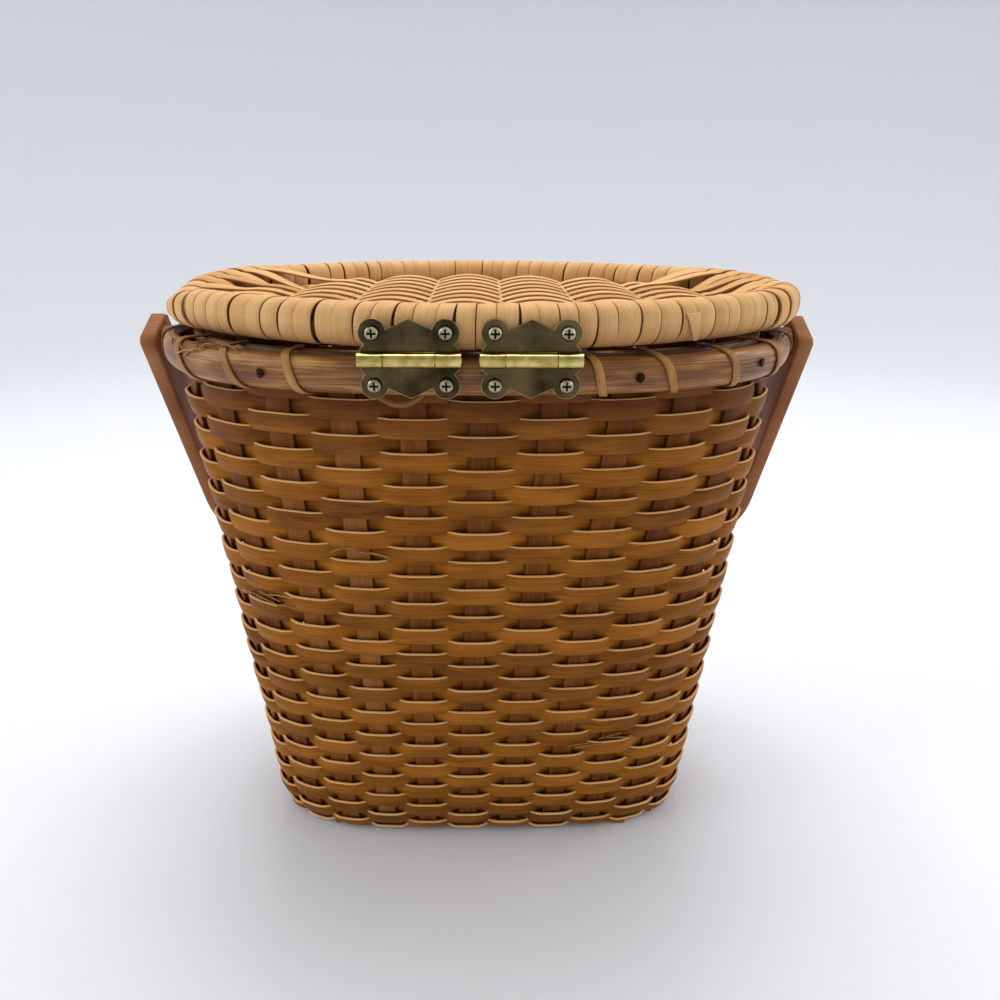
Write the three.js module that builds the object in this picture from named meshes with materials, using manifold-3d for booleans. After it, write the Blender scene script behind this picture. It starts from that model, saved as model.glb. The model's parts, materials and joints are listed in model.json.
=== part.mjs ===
// Oval lidded basket: a tapered woven body on flat stakes, a rim of two hoops lashed with cane,
// a woven lid with a wrapped edge on two brass butterfly hinges, and a flat bentwood handle that
// swings on two pivots. Millimetres, +Z up. The origin is the middle of the base on the ground,
// the hinges are on the -Y side and the handle hangs down the +Y side.
import * as THREE from 'three';
import { mergeVertices } from 'three/addons/utils/BufferGeometryUtils.js';
import Module from 'manifold-3d';

const wasm = await Module();
wasm.setup();

// Fits and facets
const GAP = 0.3; // air between two pieces that touch
const OVERRUN = 1; // how far a cutter runs past what it cuts
const PLAN_SAMPLES = 720; // points that measure a plan curve
const AROUND = 52; // facets round the basket, two to a stake
const ROUND_SIDES = 12; // facets round a small cylinder

// Body, a superellipse in plan that grows from base to mouth
const BODY_HEIGHT = 210.3; // ground to the top of the rim
const BASE_HALF_LENGTH = 87.3;
const BASE_HALF_DEPTH = 38.3;
const BASE_SQUARENESS = 3.55; // superellipse exponent
const MOUTH_SQUARENESS = 2.5;
const FLARE_EXPONENT = 1.1;
const WEAVE_THICKNESS = 2.6;
const FOOT_RADIUS = 5; // where the weave turns under
const WALL_LEVEL_SHARES = [0.66, 0.33]; // heights between foot and rim that have rings
const REED_PITCH = 5.754; // from one reed to the next, in the wall and in the lid
const TOP_REED_DROP = 4.9; // from under the rim to the middle of the top reed
const WALL_RELIEF = 1.2; // a reed's middle over and under the wall's mean surface
const TIGHT_CORNER_SHARE = 0.3; // of the height, below which the corners need facets between stakes too

// Stakes, the flat strips that the wall is woven on
const STAKES = 26;
const STAKE_TOP_WIDTH = 8.8;
const STAKE_FOOT_WIDTH = 7.4;
const STAKE_THICKNESS = 0.9;
const STAKE_CLEARANCE = 0.9;
const STAKE_LEAN = 8.3; // the foot of a middle stake lies this far to -X of its top
const STAKE_MIDDLE_X = 2.4; // where the middle stake meets the rim, towards +X
const CROSS_STAKES_EACH_WAY = 4; // stakes either side of the middle one that cross the base
const LONG_STAKES = [6, 7]; // stakes of the +X end that run along the base
const CORNER_STAKES = [5, 8, 18, 21];

// Rim
const RIM_HEIGHT = 11.5;
const OUTER_HOOP_THICKNESS = 5.4;
const INNER_HOOP_THICKNESS = 2.2;
const HOOP_SQUARENESS = 2.4; // of the outer hoop's half-round section
const WEAVE_BELOW_RIM_TOP = 1.5;
const LASHING_WIDTH = 3.4;
const LASHING_THICKNESS = 0.7;
const LASHING_SLANT_SHARE = 0.2; // how much of a pitch the cane moves on across the outside
const LASHED_SPACES = [1, 2, 3, 4, 5, 7, 8, 9, 10, 11, 12, 13, 14, 15, 16, 17, 18, 20, 21, 22, 23];
const NAIL_RADIUS = 0.8;
const NAIL_HEAD_RADIUS = 1.5;
const NAIL_HEAD_HEIGHT = 0.6;
const NAIL_LENGTH = 4;
const NAIL_X_SHARES = [-0.57, 0.42, 0.79]; // shares of the mouth's half length
const NAIL_UP_SHARES = [0.52, 0.5, 0.6]; // shares of the rim's height

// Lid
const LID_HALF_LENGTH = 113.7;
const LID_HALF_DEPTH = 74.2;
const LID_SQUARENESS = 1.9;
const LID_OVERHANG = 7.9; // past the mouth on the long sides
const LID_SHIFT = 1.5; // the lid sits this far to +X of the body
const LID_GAP = 2.6; // light shows between rim and lid
const LID_RIM_HEIGHT = 12.9;
const LID_RIM_WIDTH = 11;
const LID_RIM_SQUARENESS = 3;
const LID_CORE_SIDES = 8;
const WRAP_THICKNESS = 0.7;
const WRAP_CLEARANCE = 0.6;
const WRAP_LOOPS = 24;
const WRAP_STEPS = 10; // steps in one loop
const WRAP_COVER_SHARE = 0.93; // how much of its pitch the strip covers
const PANEL_THICKNESS = 3;
const PANEL_CLEARANCE = 0.9; // the strip round the edge bows in between its sides
const PANEL_SINK = 5.6; // mean top of the panel below the top of the lid's edge
const PANEL_RELIEF = 1.2; // a reed's middle over and under the panel's mean top
const RIBS_EACH_WAY = 3;
const RIB_PITCH = 25.7;
const RIB_MIDDLE_X = -5;
const RIB_WIDTH = 8;
const RIB_THICKNESS = 2;

// Butterfly hinges
const HINGE_SPREAD = 33.9; // between the middles of the two hinges
const HINGE_MIDDLE_X = -2;
const BARREL_LENGTH = 28.6;
const BARREL_RADIUS = 2.2;
const MIDDLE_KNUCKLE_LENGTH = 14.4;
const PIN_RADIUS = 1.05;
const PIN_PROUD = 0.2;
const AXIS_ABOVE_RIM = 1;
const LEAF_THICKNESS = 0.9;
const LEAF_HALF_WIDTH = 13.7;
const LOBE_RADIUS = 3.9;
const LOBE_OUT = 10.1; // from the hinge's middle to a lobe's middle, along the barrel
const LOBE_UP = 7.3; // from the barrel's axis to a lobe's middle
const PEAK_UP = 11.1;
const NOTCH_OUT = 6;
const NOTCH_UP = 8.3;
const SIDE_TOOTH_UP = 2.9;
const SIDE_NOTCH_DEPTH = 0.8;
const SIDE_NOTCH_UP = 3.7;
const SCREW_HEAD_RADIUS = 2.1;
const SCREW_HEAD_HEIGHT = 1.1;
const SCREW_SHANK_RADIUS = 1;
const SCREW_LENGTH = 8.4; // behind the leaf
const RECESS_WIDTH = 0.6;
const RECESS_LENGTH = 2.6;
const RECESS_DEPTH = 0.6;

// Handle, a flat slat bent into an arch
const HANDLE_INSIDE_HALF_WIDTH = 116.3;
const HANDLE_STAND_OFF = 10.9; // from the mouth's ends to the handle
const HANDLE_THICKNESS = 5.7;
const HANDLE_WIDTH = 18;
const HANDLE_EDGE = 1.2; // its rounded long edges
const HANDLE_STRAIGHT = 80; // pivot to where the arch starts
const HANDLE_RISE = 52; // height of the arch
const HANDLE_END = 7; // past the pivot
const HANDLE_END_WIDTH = 9;
const HANDLE_SQUARENESS = 2.4;
const HANDLE_ARCH_STEPS = 18;
const HANDLE_WALL_GAP = 3.43; // from its inner edge to the wall, where it rests
const PIVOT_BELOW_RIM_TOP = 7.8;
const PIVOT_RADIUS = 1.5;
const PIVOT_HEAD_RADIUS = 3.6;
const PIVOT_HEAD_HEIGHT = 1.4;
const PIVOT_BITE = 1; // how far the pivot runs into the inner hoop
const SPACER_RADIUS = 5.6;

// Finishes
const finish = (color, roughness, metalness = 0) => () =>
  new THREE.MeshStandardMaterial({ color, roughness, metalness });
const amberReed = finish('#b5773a', 0.55);
const stakeReed = finish('#a96c34', 0.6);
const rattan = finish('#8f5a33', 0.45);
const cane = finish('#b98a54', 0.5);
const paleReed = finish('#dcae78', 0.55);
const ribReed = finish('#c99a63', 0.6);
const brass = finish('#b59a4c', 0.28, 1);
const steel = finish('#8d877a', 0.35, 1);
const handleWood = finish('#a8744a', 0.55);

// The mouth, set back from the handle and from the lid's long edges
const MOUTH_HALF_LENGTH = HANDLE_INSIDE_HALF_WIDTH - HANDLE_STAND_OFF;
const MOUTH_HALF_DEPTH = LID_HALF_DEPTH - LID_OVERHANG;

// Levels
const RIM_TOP = BODY_HEIGHT;
const RIM_BOTTOM = RIM_TOP - RIM_HEIGHT;
const RIM_MIDDLE = (RIM_TOP + RIM_BOTTOM) / 2;
const WEAVE_TOP = RIM_TOP - WEAVE_BELOW_RIM_TOP;
const LID_BOTTOM = RIM_TOP + LID_GAP;
const LID_TOP = LID_BOTTOM + LID_RIM_HEIGHT;
const LID_RIM_MIDDLE = (LID_TOP + LID_BOTTOM) / 2;
const PANEL_TOP = LID_TOP - PANEL_SINK;
const PANEL_BOTTOM = PANEL_TOP - PANEL_THICKNESS;

// Offsets from the outside of the wall, outwards
const OUTER_HOOP_FACE = GAP + OUTER_HOOP_THICKNESS;
const STAKE_BACK = -(WEAVE_THICKNESS + STAKE_CLEARANCE);
const STAKE_FACE = STAKE_BACK - STAKE_THICKNESS;
const INNER_HOOP_BACK = STAKE_FACE - GAP;
const INNER_HOOP_FACE = INNER_HOOP_BACK - INNER_HOOP_THICKNESS;

// The hinges' plane and axis
const LEAF_BACK_Y = -(LID_HALF_DEPTH + GAP);
const LEAF_FRONT_Y = LEAF_BACK_Y - LEAF_THICKNESS;
const HINGE_AXIS_Z = RIM_TOP + AXIS_ABOVE_RIM;

// A superellipse in plan, with the length along it
const planCurves = new Map();
function planCurve(a, b, exponent) {
  const key = `${a} ${b} ${exponent}`;
  if (!planCurves.has(key)) {
    const points = [];
    const lengths = [0];
    for (let i = 0; i <= PLAN_SAMPLES; i += 1) {
      const angle = (2 * Math.PI * i) / PLAN_SAMPLES;
      const c = Math.cos(angle);
      const s = Math.sin(angle);
      const reach = (Math.abs(c / a) ** exponent + Math.abs(s / b) ** exponent) ** (-1 / exponent);
      points.push(new THREE.Vector2(reach * c, reach * s));
      if (i > 0) lengths.push(lengths[i - 1] + points[i].distanceTo(points[i - 1]));
    }
    planCurves.set(key, { points, lengths, total: lengths[PLAN_SAMPLES] });
  }
  return planCurves.get(key);
}

// The point at a share of the curve's length, counted from +X towards +Y
function planPoint(curve, share) {
  const target = (share - Math.floor(share)) * curve.total;
  let low = 0;
  let high = PLAN_SAMPLES;
  while (high - low > 1) {
    const middle = Math.floor((low + high) / 2);
    if (curve.lengths[middle] > target) high = middle;
    else low = middle;
  }
  const step = curve.lengths[high] - curve.lengths[low];
  return curve.points[low].clone().lerp(curve.points[high], (target - curve.lengths[low]) / step);
}

function wallCurve(z, offset) {
  const grown = (Math.max(z, 0) / BODY_HEIGHT) ** FLARE_EXPONENT;
  const a = THREE.MathUtils.lerp(BASE_HALF_LENGTH, MOUTH_HALF_LENGTH, grown) + offset;
  const b = THREE.MathUtils.lerp(BASE_HALF_DEPTH, MOUTH_HALF_DEPTH, grown) + offset;
  return planCurve(a, b, THREE.MathUtils.lerp(BASE_SQUARENESS, MOUTH_SQUARENESS, grown));
}

function onWall(share, z, offset) {
  const plan = planPoint(wallCurve(z, offset), share);
  return new THREE.Vector3(plan.x, plan.y, z);
}

function onLid(share, z, offset) {
  const plan = planPoint(planCurve(LID_HALF_LENGTH + offset, LID_HALF_DEPTH + offset, LID_SQUARENESS), share);
  return new THREE.Vector3(plan.x + LID_SHIFT, plan.y, z);
}

// Where a stake stands at a height. Halves are the spaces between stakes. Stake 0 is the middle
// one of the hinge side, and the stakes of both long sides lean the same way.
function stakeShare(index, z) {
  const upright = 0.75 + index / STAKES;
  const slide = STAKE_MIDDLE_X - STAKE_LEAN * (1 - z / BODY_HEIGHT);
  return upright - (slide / wallCurve(z, 0).total) * Math.sin(2 * Math.PI * upright);
}

// Makes the faces of a closed shape point outwards
function faceOut(geometry) {
  const position = geometry.getAttribute('position');
  const index = geometry.getIndex().array;
  const [a, b, c] = [new THREE.Vector3(), new THREE.Vector3(), new THREE.Vector3()];
  let volume = 0;
  for (let i = 0; i < index.length; i += 3) {
    a.fromBufferAttribute(position, index[i]);
    b.fromBufferAttribute(position, index[i + 1]);
    c.fromBufferAttribute(position, index[i + 2]);
    volume += a.dot(b.cross(c));
  }
  for (let i = 0; volume < 0 && i < index.length; i += 3) {
    [index[i + 1], index[i + 2]] = [index[i + 2], index[i + 1]];
  }
  return geometry;
}

// Joins outlines into one closed shape. Two neighbours have equal point counts, or one has twice as
// many. A ring of outlines closes on itself, a row of them gets a face at each end. The diagonal of
// a crossed square runs the other way.
function loft(outlines, isRing = false, isCrossed = () => false) {
  const starts = outlines.map((outline, i) => outlines.slice(0, i).flat().length);
  const index = [];
  const joins = isRing ? outlines.length : outlines.length - 1;
  for (let i = 0; i < joins; i += 1) {
    const k = (i + 1) % outlines.length;
    const steps = Math.min(outlines[i].length, outlines[k].length);
    const hereStep = outlines[i].length / steps;
    const nextStep = outlines[k].length / steps;
    for (let j = 0; j < steps; j += 1) {
      const after = (j + 1) % steps;
      const [a, b] = [starts[i] + j * hereStep, starts[i] + after * hereStep];
      const [c, d] = [starts[k] + j * nextStep, starts[k] + after * nextStep];
      if (nextStep > 1) index.push(a, c, c + 1, a, c + 1, b, b, c + 1, d);
      else if (hereStep > 1) index.push(a, c, a + 1, a + 1, c, d, a + 1, d, b);
      else if (isCrossed(i, j)) index.push(a, c, b, b, c, d);
      else index.push(a, c, d, a, d, b);
    }
  }
  const sides = outlines[0].length;
  const end = starts[outlines.length - 1];
  for (let j = 1; !isRing && j < sides - 1; j += 1) {
    index.push(0, j, j + 1, end, end + j + 1, end + j);
  }
  const geometry = new THREE.BufferGeometry().setFromPoints(outlines.flat());
  geometry.setIndex(index);
  return faceOut(geometry);
}

function toSolid(geometry) {
  const bare = new THREE.BufferGeometry();
  bare.setAttribute('position', geometry.getAttribute('position').clone());
  if (geometry.getIndex()) bare.setIndex(geometry.getIndex().clone());
  const merged = mergeVertices(bare);
  return new wasm.Manifold(new wasm.Mesh({
    numProp: 3,
    vertProperties: new Float32Array(merged.getAttribute('position').array),
    triVerts: new Uint32Array(merged.getIndex().array),
  }));
}

function toGeometry(solid) {
  const mesh = solid.getMesh();
  const geometry = new THREE.BufferGeometry();
  geometry.setAttribute('position', new THREE.BufferAttribute(new Float32Array(mesh.vertProperties), 3));
  geometry.setIndex(new THREE.BufferAttribute(new Uint32Array(mesh.triVerts), 1));
  return geometry;
}

function cut(geometry, cutters) {
  return toGeometry(cutters.reduce((rest, cutter) => rest.subtract(cutter), toSolid(geometry)));
}

// A cylinder from one point to another
function rod(from, to, radius) {
  const along = to.clone().sub(from);
  const geometry = new THREE.CylinderGeometry(radius, radius, along.length(), ROUND_SIDES);
  geometry.applyQuaternion(
    new THREE.Quaternion().setFromUnitVectors(new THREE.Vector3(0, 1, 0), along.clone().normalize()),
  );
  const middle = from.clone().add(to).divideScalar(2);
  return geometry.translate(middle.x, middle.y, middle.z);
}

// A rivet, nail or screw turned from a profile of radius and height, with its head outwards
function turned(profile, tip, head) {
  const geometry = new THREE.LatheGeometry(profile.map(([r, h]) => new THREE.Vector2(r, h)), ROUND_SIDES);
  const out = head.clone().sub(tip).normalize();
  geometry.applyQuaternion(new THREE.Quaternion().setFromUnitVectors(new THREE.Vector3(0, 1, 0), out));
  return geometry.translate(head.x, head.y, head.z);
}

// Corners of the facets round the wall, at the stakes and midway between them, and round the lid
const atWallFacet = (i, z, offset) => onWall(stakeShare((i * STAKES) / AROUND, z), z, offset);
const atLidFacet = (i, z, offset) => onLid(i / AROUND, z, offset);

// A closed band round the basket or lid, from a section of offset and height
function band(section, atFacet) {
  const outlines = [];
  for (let i = 0; i < AROUND; i += 1) {
    outlines.push(section.map(([offset, z]) => atFacet(i, z, offset)));
  }
  return loft(outlines, true);
}

// A flat strip along stations of share, offset and height, with its width along the share
function strip(stations, width, thickness, place, acrossShares) {
  const outlines = stations.map((station, i) => {
    const before = stations[Math.max(i - 1, 0)];
    const after = stations[Math.min(i + 1, stations.length - 1)];
    const run = new THREE.Vector2(after.offset - before.offset, after.z - before.z).normalize();
    const edge = (across, side) => place(
      station.share + across * width,
      station.z - side * run.x * thickness / 2,
      station.offset + side * run.y * thickness / 2,
    );
    return [
      ...acrossShares.map((across) => edge(across, 1)),
      ...acrossShares.map((across) => edge(-across, -1)),
    ];
  });
  return outlines;
}

// The least distance between the turns of a winding, measured on the points of its outlines
function leastGap(outlines, stepsInLoop) {
  let least = Infinity;
  const halfLoop = Math.floor(stepsInLoop / 2);
  for (let i = 0; i < outlines.length; i += 1) {
    const reach = Math.min(outlines.length, i + 2 * stepsInLoop);
    for (let j = i + halfLoop; j < reach; j += 1) {
      for (const p of outlines[i]) {
        for (const q of outlines[j]) least = Math.min(least, p.distanceTo(q));
      }
    }
  }
  return least;
}

const basket = new THREE.Group();
const body = new THREE.Group();
const lid = new THREE.Group();
const handle = new THREE.Group();
basket.add(body, lid, handle);

function addPiece(group, name, geometry, material) {
  const mesh = new THREE.Mesh(geometry, material());
  mesh.name = name;
  group.add(mesh);
}

// Screws of both hinges
const hinges = [
  { side: 'left', x: HINGE_MIDDLE_X - HINGE_SPREAD / 2 },
  { side: 'right', x: HINGE_MIDDLE_X + HINGE_SPREAD / 2 },
];
const screws = hinges.flatMap(({ side, x }) => [-1, 1].flatMap((out) => [-1, 1].map((up) => ({
  name: `${side}_hinge_${up > 0 ? 'lid' : 'rim'}_screw_${out < 0 ? 1 : 2}`,
  x: x + out * LOBE_OUT,
  z: HINGE_AXIS_Z + up * LOBE_UP,
  inLid: up > 0,
}))));
const screwHoles = (inLid) => screws.filter((screw) => screw.inLid === inLid).map(({ x, z }) => toSolid(rod(
  new THREE.Vector3(x, LEAF_FRONT_Y - OVERRUN, z),
  new THREE.Vector3(x, LEAF_BACK_Y + SCREW_LENGTH + GAP, z),
  SCREW_SHANK_RADIUS + GAP,
)));

// Handle pivots
const PIVOT_Z = RIM_TOP - PIVOT_BELOW_RIM_TOP;
const HANDLE_OUTSIDE = HANDLE_INSIDE_HALF_WIDTH + HANDLE_THICKNESS;
const pivotCurve = wallCurve(PIVOT_Z, 0);
const PIVOT_TIP = pivotCurve.points[0].x + INNER_HOOP_BACK - PIVOT_BITE;
const pivots = [['left', -1], ['right', 1]];
const atPivot = (side, x) => new THREE.Vector3(side * x, 0, PIVOT_Z);
const pivotHoles = pivots.map(([, side]) => toSolid(rod(
  atPivot(side, PIVOT_TIP - GAP),
  atPivot(side, HANDLE_OUTSIDE + OVERRUN),
  PIVOT_RADIUS + GAP,
)));

// Rim lashing: up the inside, over both hoops, down the outside and back under through the weave,
// one loop in each lashed space between two stakes
const CANE_HOLD = GAP + LASHING_THICKNESS / 2;
const OUTER_HOOP_STEPS = [90, 45, 0, -45, -90];
const halfRound = (degrees, grow) => {
  const angle = THREE.MathUtils.degToRad(degrees);
  const share = 2 / HOOP_SQUARENESS;
  return [
    GAP + (OUTER_HOOP_THICKNESS + grow) * Math.max(Math.cos(angle), 0) ** share,
    RIM_MIDDLE + (RIM_HEIGHT / 2 + grow) * Math.sign(angle) * Math.abs(Math.sin(angle)) ** share,
  ];
};
const lashingStations = LASHED_SPACES.flatMap((space) => {
  const inside = INNER_HOOP_FACE - CANE_HOLD;
  const start = (z) => stakeShare(space + 0.5 - LASHING_SLANT_SHARE / 2, z);
  const end = (z) => stakeShare(space + 0.5 + LASHING_SLANT_SHARE / 2, z);
  return [
    { share: start(RIM_TOP), offset: inside, z: RIM_TOP - OUTER_HOOP_THICKNESS / 2 },
    { share: start(RIM_TOP), offset: inside, z: RIM_TOP + CANE_HOLD },
    ...OUTER_HOOP_STEPS.map((degrees, i) => {
      const [offset, z] = halfRound(degrees, CANE_HOLD);
      const moved = i / (OUTER_HOOP_STEPS.length - 1);
      return { share: THREE.MathUtils.lerp(start(z), end(z), moved), offset, z };
    }),
    { share: end(RIM_BOTTOM), offset: inside, z: RIM_BOTTOM - CANE_HOLD },
    { share: end(RIM_BOTTOM), offset: inside, z: RIM_BOTTOM + OUTER_HOOP_THICKNESS / 2 },
  ];
});
const STATIONS_IN_LOOP = lashingStations.length / LASHED_SPACES.length;
const rimLength = wallCurve(RIM_MIDDLE, 0).total;
const lashingOutlines = strip(lashingStations, LASHING_WIDTH / rimLength, LASHING_THICKNESS, onWall, [-0.5, 0.5]);
const lashingRoom = toSolid(loft(strip(
  lashingStations,
  (LASHING_WIDTH + 2 * GAP) / rimLength,
  LASHING_THICKNESS + 2 * GAP,
  onWall,
  [-0.5, 0.5],
)));
addPiece(body, 'rim_lashing', loft(lashingOutlines), cane);

// Rim nails in the outer hoop
const nails = NAIL_X_SHARES.map((xShare, i) => {
  const z = RIM_BOTTOM + NAIL_UP_SHARES[i] * RIM_HEIGHT;
  const across = (2 * z - RIM_TOP - RIM_BOTTOM) / RIM_HEIGHT;
  const face = GAP + OUTER_HOOP_THICKNESS * (1 - Math.abs(across) ** HOOP_SQUARENESS) ** (1 / HOOP_SQUARENESS);
  let [low, high] = [0.5, 1];
  while (high - low > 1 / PLAN_SAMPLES ** 2) {
    const middle = (low + high) / 2;
    if (onWall(middle, z, 0).x < xShare * MOUTH_HALF_LENGTH) low = middle;
    else high = middle;
  }
  return {
    tip: onWall(low, z, face - NAIL_LENGTH),
    head: onWall(low, z, face + GAP),
    top: onWall(low, z, face + GAP + NAIL_HEAD_HEIGHT + OVERRUN),
  };
});
const nailHoles = nails.map(({ tip, top }) => toSolid(rod(
  tip.clone().add(tip.clone().sub(top).setLength(GAP)),
  top,
  NAIL_RADIUS + GAP,
)));
for (const [i, { tip, head }] of nails.entries()) {
  const nail = [
    [0, -tip.distanceTo(head)],
    [NAIL_RADIUS, NAIL_RADIUS - tip.distanceTo(head)],
    [NAIL_RADIUS, 0],
    [NAIL_HEAD_RADIUS, 0],
    [NAIL_HEAD_RADIUS, NAIL_HEAD_HEIGHT / 2],
    [0, NAIL_HEAD_HEIGHT],
  ];
  addPiece(body, `rim_nail_${i + 1}`, turned(nail, tip, head), steel);
}

// Hoops
const outerHoopSection = OUTER_HOOP_STEPS.map((degrees) => halfRound(degrees, 0));
addPiece(
  body,
  'outer_rim_hoop',
  cut(band(outerHoopSection, atWallFacet), [...screwHoles(false), ...pivotHoles, ...nailHoles]),
  rattan,
);
const innerHoopSection = [
  [INNER_HOOP_BACK, RIM_BOTTOM],
  [INNER_HOOP_BACK, RIM_TOP],
  [INNER_HOOP_FACE, RIM_TOP],
  [INNER_HOOP_FACE, RIM_BOTTOM],
];
addPiece(body, 'inner_rim_hoop', cut(band(innerHoopSection, atWallFacet), pivotHoles), rattan);

// Woven wall, rounded where it turns under
const footArc = (radius) => [0.25, 0.5, 0.75, 1].map((share) => {
  const angle = (share * Math.PI) / 2;
  return [
    -FOOT_RADIUS + radius * Math.cos(angle),
    FOOT_RADIUS - radius * Math.sin(angle),
  ];
});
const wallRing = ([offset, z]) => Array.from({ length: AROUND }, (_, i) => atWallFacet(i, z, offset));
const wallHeights = WALL_LEVEL_SHARES.map((share) => share * WEAVE_TOP);
// Each reed passes outside one stake and inside the next, the other way round in the next row
const topReed = RIM_BOTTOM - TOP_REED_DROP;
const reedRows = Math.floor((topReed - FOOT_RADIUS) / REED_PITCH);
const isOutside = (row, stake) => (row + stake) % 2 === 0;
const reedRings = Array.from({ length: reedRows + 1 }, (_, row) => {
  const z = topReed - row * REED_PITCH;
  const facets = z < TIGHT_CORNER_SHARE * BODY_HEIGHT ? AROUND : STAKES;
  return Array.from({ length: facets }, (__, i) => {
    const stake = (i * STAKES) / facets;
    const relief = isOutside(row, stake) ? WALL_RELIEF : -WALL_RELIEF;
    return onWall(stakeShare(stake, z), z, Number.isInteger(stake) ? relief : 0);
  });
});
const ringsAbove = [[0, WEAVE_TOP], [0, RIM_BOTTOM - GAP]].map(wallRing);
const wallRings = [
  ...ringsAbove,
  ...reedRings,
  ...[
    [0, FOOT_RADIUS],
    ...footArc(FOOT_RADIUS),
    ...footArc(FOOT_RADIUS - WEAVE_THICKNESS).reverse(),
    [-WEAVE_THICKNESS, FOOT_RADIUS],
    ...wallHeights.reverse().map((z) => [-WEAVE_THICKNESS, z]),
    [-WEAVE_THICKNESS, WEAVE_TOP],
  ].map(wallRing),
];
const wall = loft(wallRings, true, (ring, stake) => !isOutside(ring - ringsAbove.length, stake));
addPiece(
  body,
  'woven_wall',
  cut(wall, [lashingRoom, ...screwHoles(false), ...pivotHoles]),
  amberReed,
);

// Woven base inside the turned foot
const baseOutline = (z) => wallRing([-FOOT_RADIUS - GAP, z]);
const baseTop = baseOutline(0).map((point) => point.clone().setZ(WEAVE_THICKNESS));
addPiece(body, 'woven_base', loft([baseOutline(0), baseTop]), amberReed);

// Stakes
const stakeEdges = (index, z, offset, sharpness) => [-0.5, 0, 0.5].map((across) => {
  const width = THREE.MathUtils.lerp(STAKE_FOOT_WIDTH, STAKE_TOP_WIDTH, z / BODY_HEIGHT);
  const share = stakeShare(index, z) + (sharpness * across * width) / wallCurve(z, offset).total;
  return onWall(share, z, offset);
});
const STAKE_FOOT_Z = FOOT_RADIUS + STAKE_CLEARANCE;
const stakeHeights = [WEAVE_TOP, ...WALL_LEVEL_SHARES.map((share) => share * WEAVE_TOP), STAKE_FOOT_Z];
const upright = (index, mirror = 1) => stakeHeights.map((z) => [
  ...stakeEdges(index, z, STAKE_BACK, mirror),
  ...stakeEdges(index, z, STAKE_FACE, -mirror),
]);
// The strip's turn onto the base, level with the given height and square to the strip
function baseTurn(index, level, direction) {
  const inset = -FOOT_RADIUS - STAKE_CLEARANCE;
  const middle = onWall(stakeShare(index, STAKE_FOOT_Z), STAKE_FOOT_Z, inset);
  const edges = (z, mirror) => [-0.5, 0, 0.5].map((across) => middle.clone()
    .addScaledVector(direction, mirror * across * STAKE_FOOT_WIDTH)
    .setZ(z));
  return [...edges(level, 1), ...edges(level + STAKE_THICKNESS, -1)];
}
function crossingStake(index, opposite, level, direction) {
  return loft([
    ...upright(index),
    baseTurn(index, level, direction),
    baseTurn(opposite, level, direction),
    ...upright(opposite, -1).reverse(),
  ]);
}
const CROSS_LEVEL = WEAVE_THICKNESS + GAP;
const LONG_LEVEL = CROSS_LEVEL + STAKE_THICKNESS + GAP;
for (let i = -CROSS_STAKES_EACH_WAY; i <= CROSS_STAKES_EACH_WAY; i += 1) {
  const name = `cross_stake_${i + CROSS_STAKES_EACH_WAY + 1}`;
  const geometry = crossingStake(i, STAKES / 2 - i, CROSS_LEVEL, new THREE.Vector3(1, 0, 0));
  addPiece(body, name, geometry, stakeReed);
}
for (const [i, index] of LONG_STAKES.entries()) {
  const geometry = crossingStake(index, -index, LONG_LEVEL, new THREE.Vector3(0, 1, 0));
  addPiece(body, `long_stake_${i + 1}`, geometry, stakeReed);
}
for (const [i, index] of CORNER_STAKES.entries()) {
  addPiece(body, `corner_stake_${i + 1}`, loft(upright(index)), stakeReed);
}

// Handle pivots and the spacers that hold the handle off the rim
const SPACER_INSIDE = pivotCurve.points[0].x + OUTER_HOOP_FACE + GAP;
for (const [name, side] of pivots) {
  const length = HANDLE_OUTSIDE + GAP - PIVOT_TIP;
  const pivot = [
    [0, -length],
    [PIVOT_RADIUS, PIVOT_RADIUS - length],
    [PIVOT_RADIUS, 0],
    [PIVOT_HEAD_RADIUS, 0],
    [PIVOT_HEAD_RADIUS, PIVOT_HEAD_HEIGHT / 2],
    [PIVOT_HEAD_RADIUS / 2, PIVOT_HEAD_HEIGHT],
    [0, PIVOT_HEAD_HEIGHT],
  ];
  const head = atPivot(side, HANDLE_OUTSIDE + GAP);
  addPiece(body, `handle_pivot_${name}`, turned(pivot, atPivot(side, PIVOT_TIP), head), steel);
  const spacer = rod(atPivot(side, SPACER_INSIDE), atPivot(side, HANDLE_INSIDE_HALF_WIDTH - GAP), SPACER_RADIUS);
  addPiece(body, `handle_spacer_${name}`, cut(spacer, pivotHoles), handleWood);
}

// Lid: a core hoop, the strip wound round it, the woven panel and its ribs
const coreHalfWidth = LID_RIM_WIDTH / 2 - WRAP_THICKNESS - WRAP_CLEARANCE;
const coreHalfHeight = LID_RIM_HEIGHT / 2 - WRAP_THICKNESS - WRAP_CLEARANCE;
const lidSection = (turn, grow) => {
  const c = Math.cos(2 * Math.PI * turn);
  const s = Math.sin(2 * Math.PI * turn);
  const share = 2 / LID_RIM_SQUARENESS;
  return [
    -LID_RIM_WIDTH / 2 + (coreHalfWidth + grow) * Math.sign(c) * Math.abs(c) ** share,
    LID_RIM_MIDDLE + (coreHalfHeight + grow) * Math.sign(s) * Math.abs(s) ** share,
  ];
};
const coreSection = Array.from({ length: LID_CORE_SIDES }, (_, i) => lidSection(i / LID_CORE_SIDES, 0));
addPiece(lid, 'lid_core_hoop', cut(band(coreSection, atLidFacet), screwHoles(true)), rattan);

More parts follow.
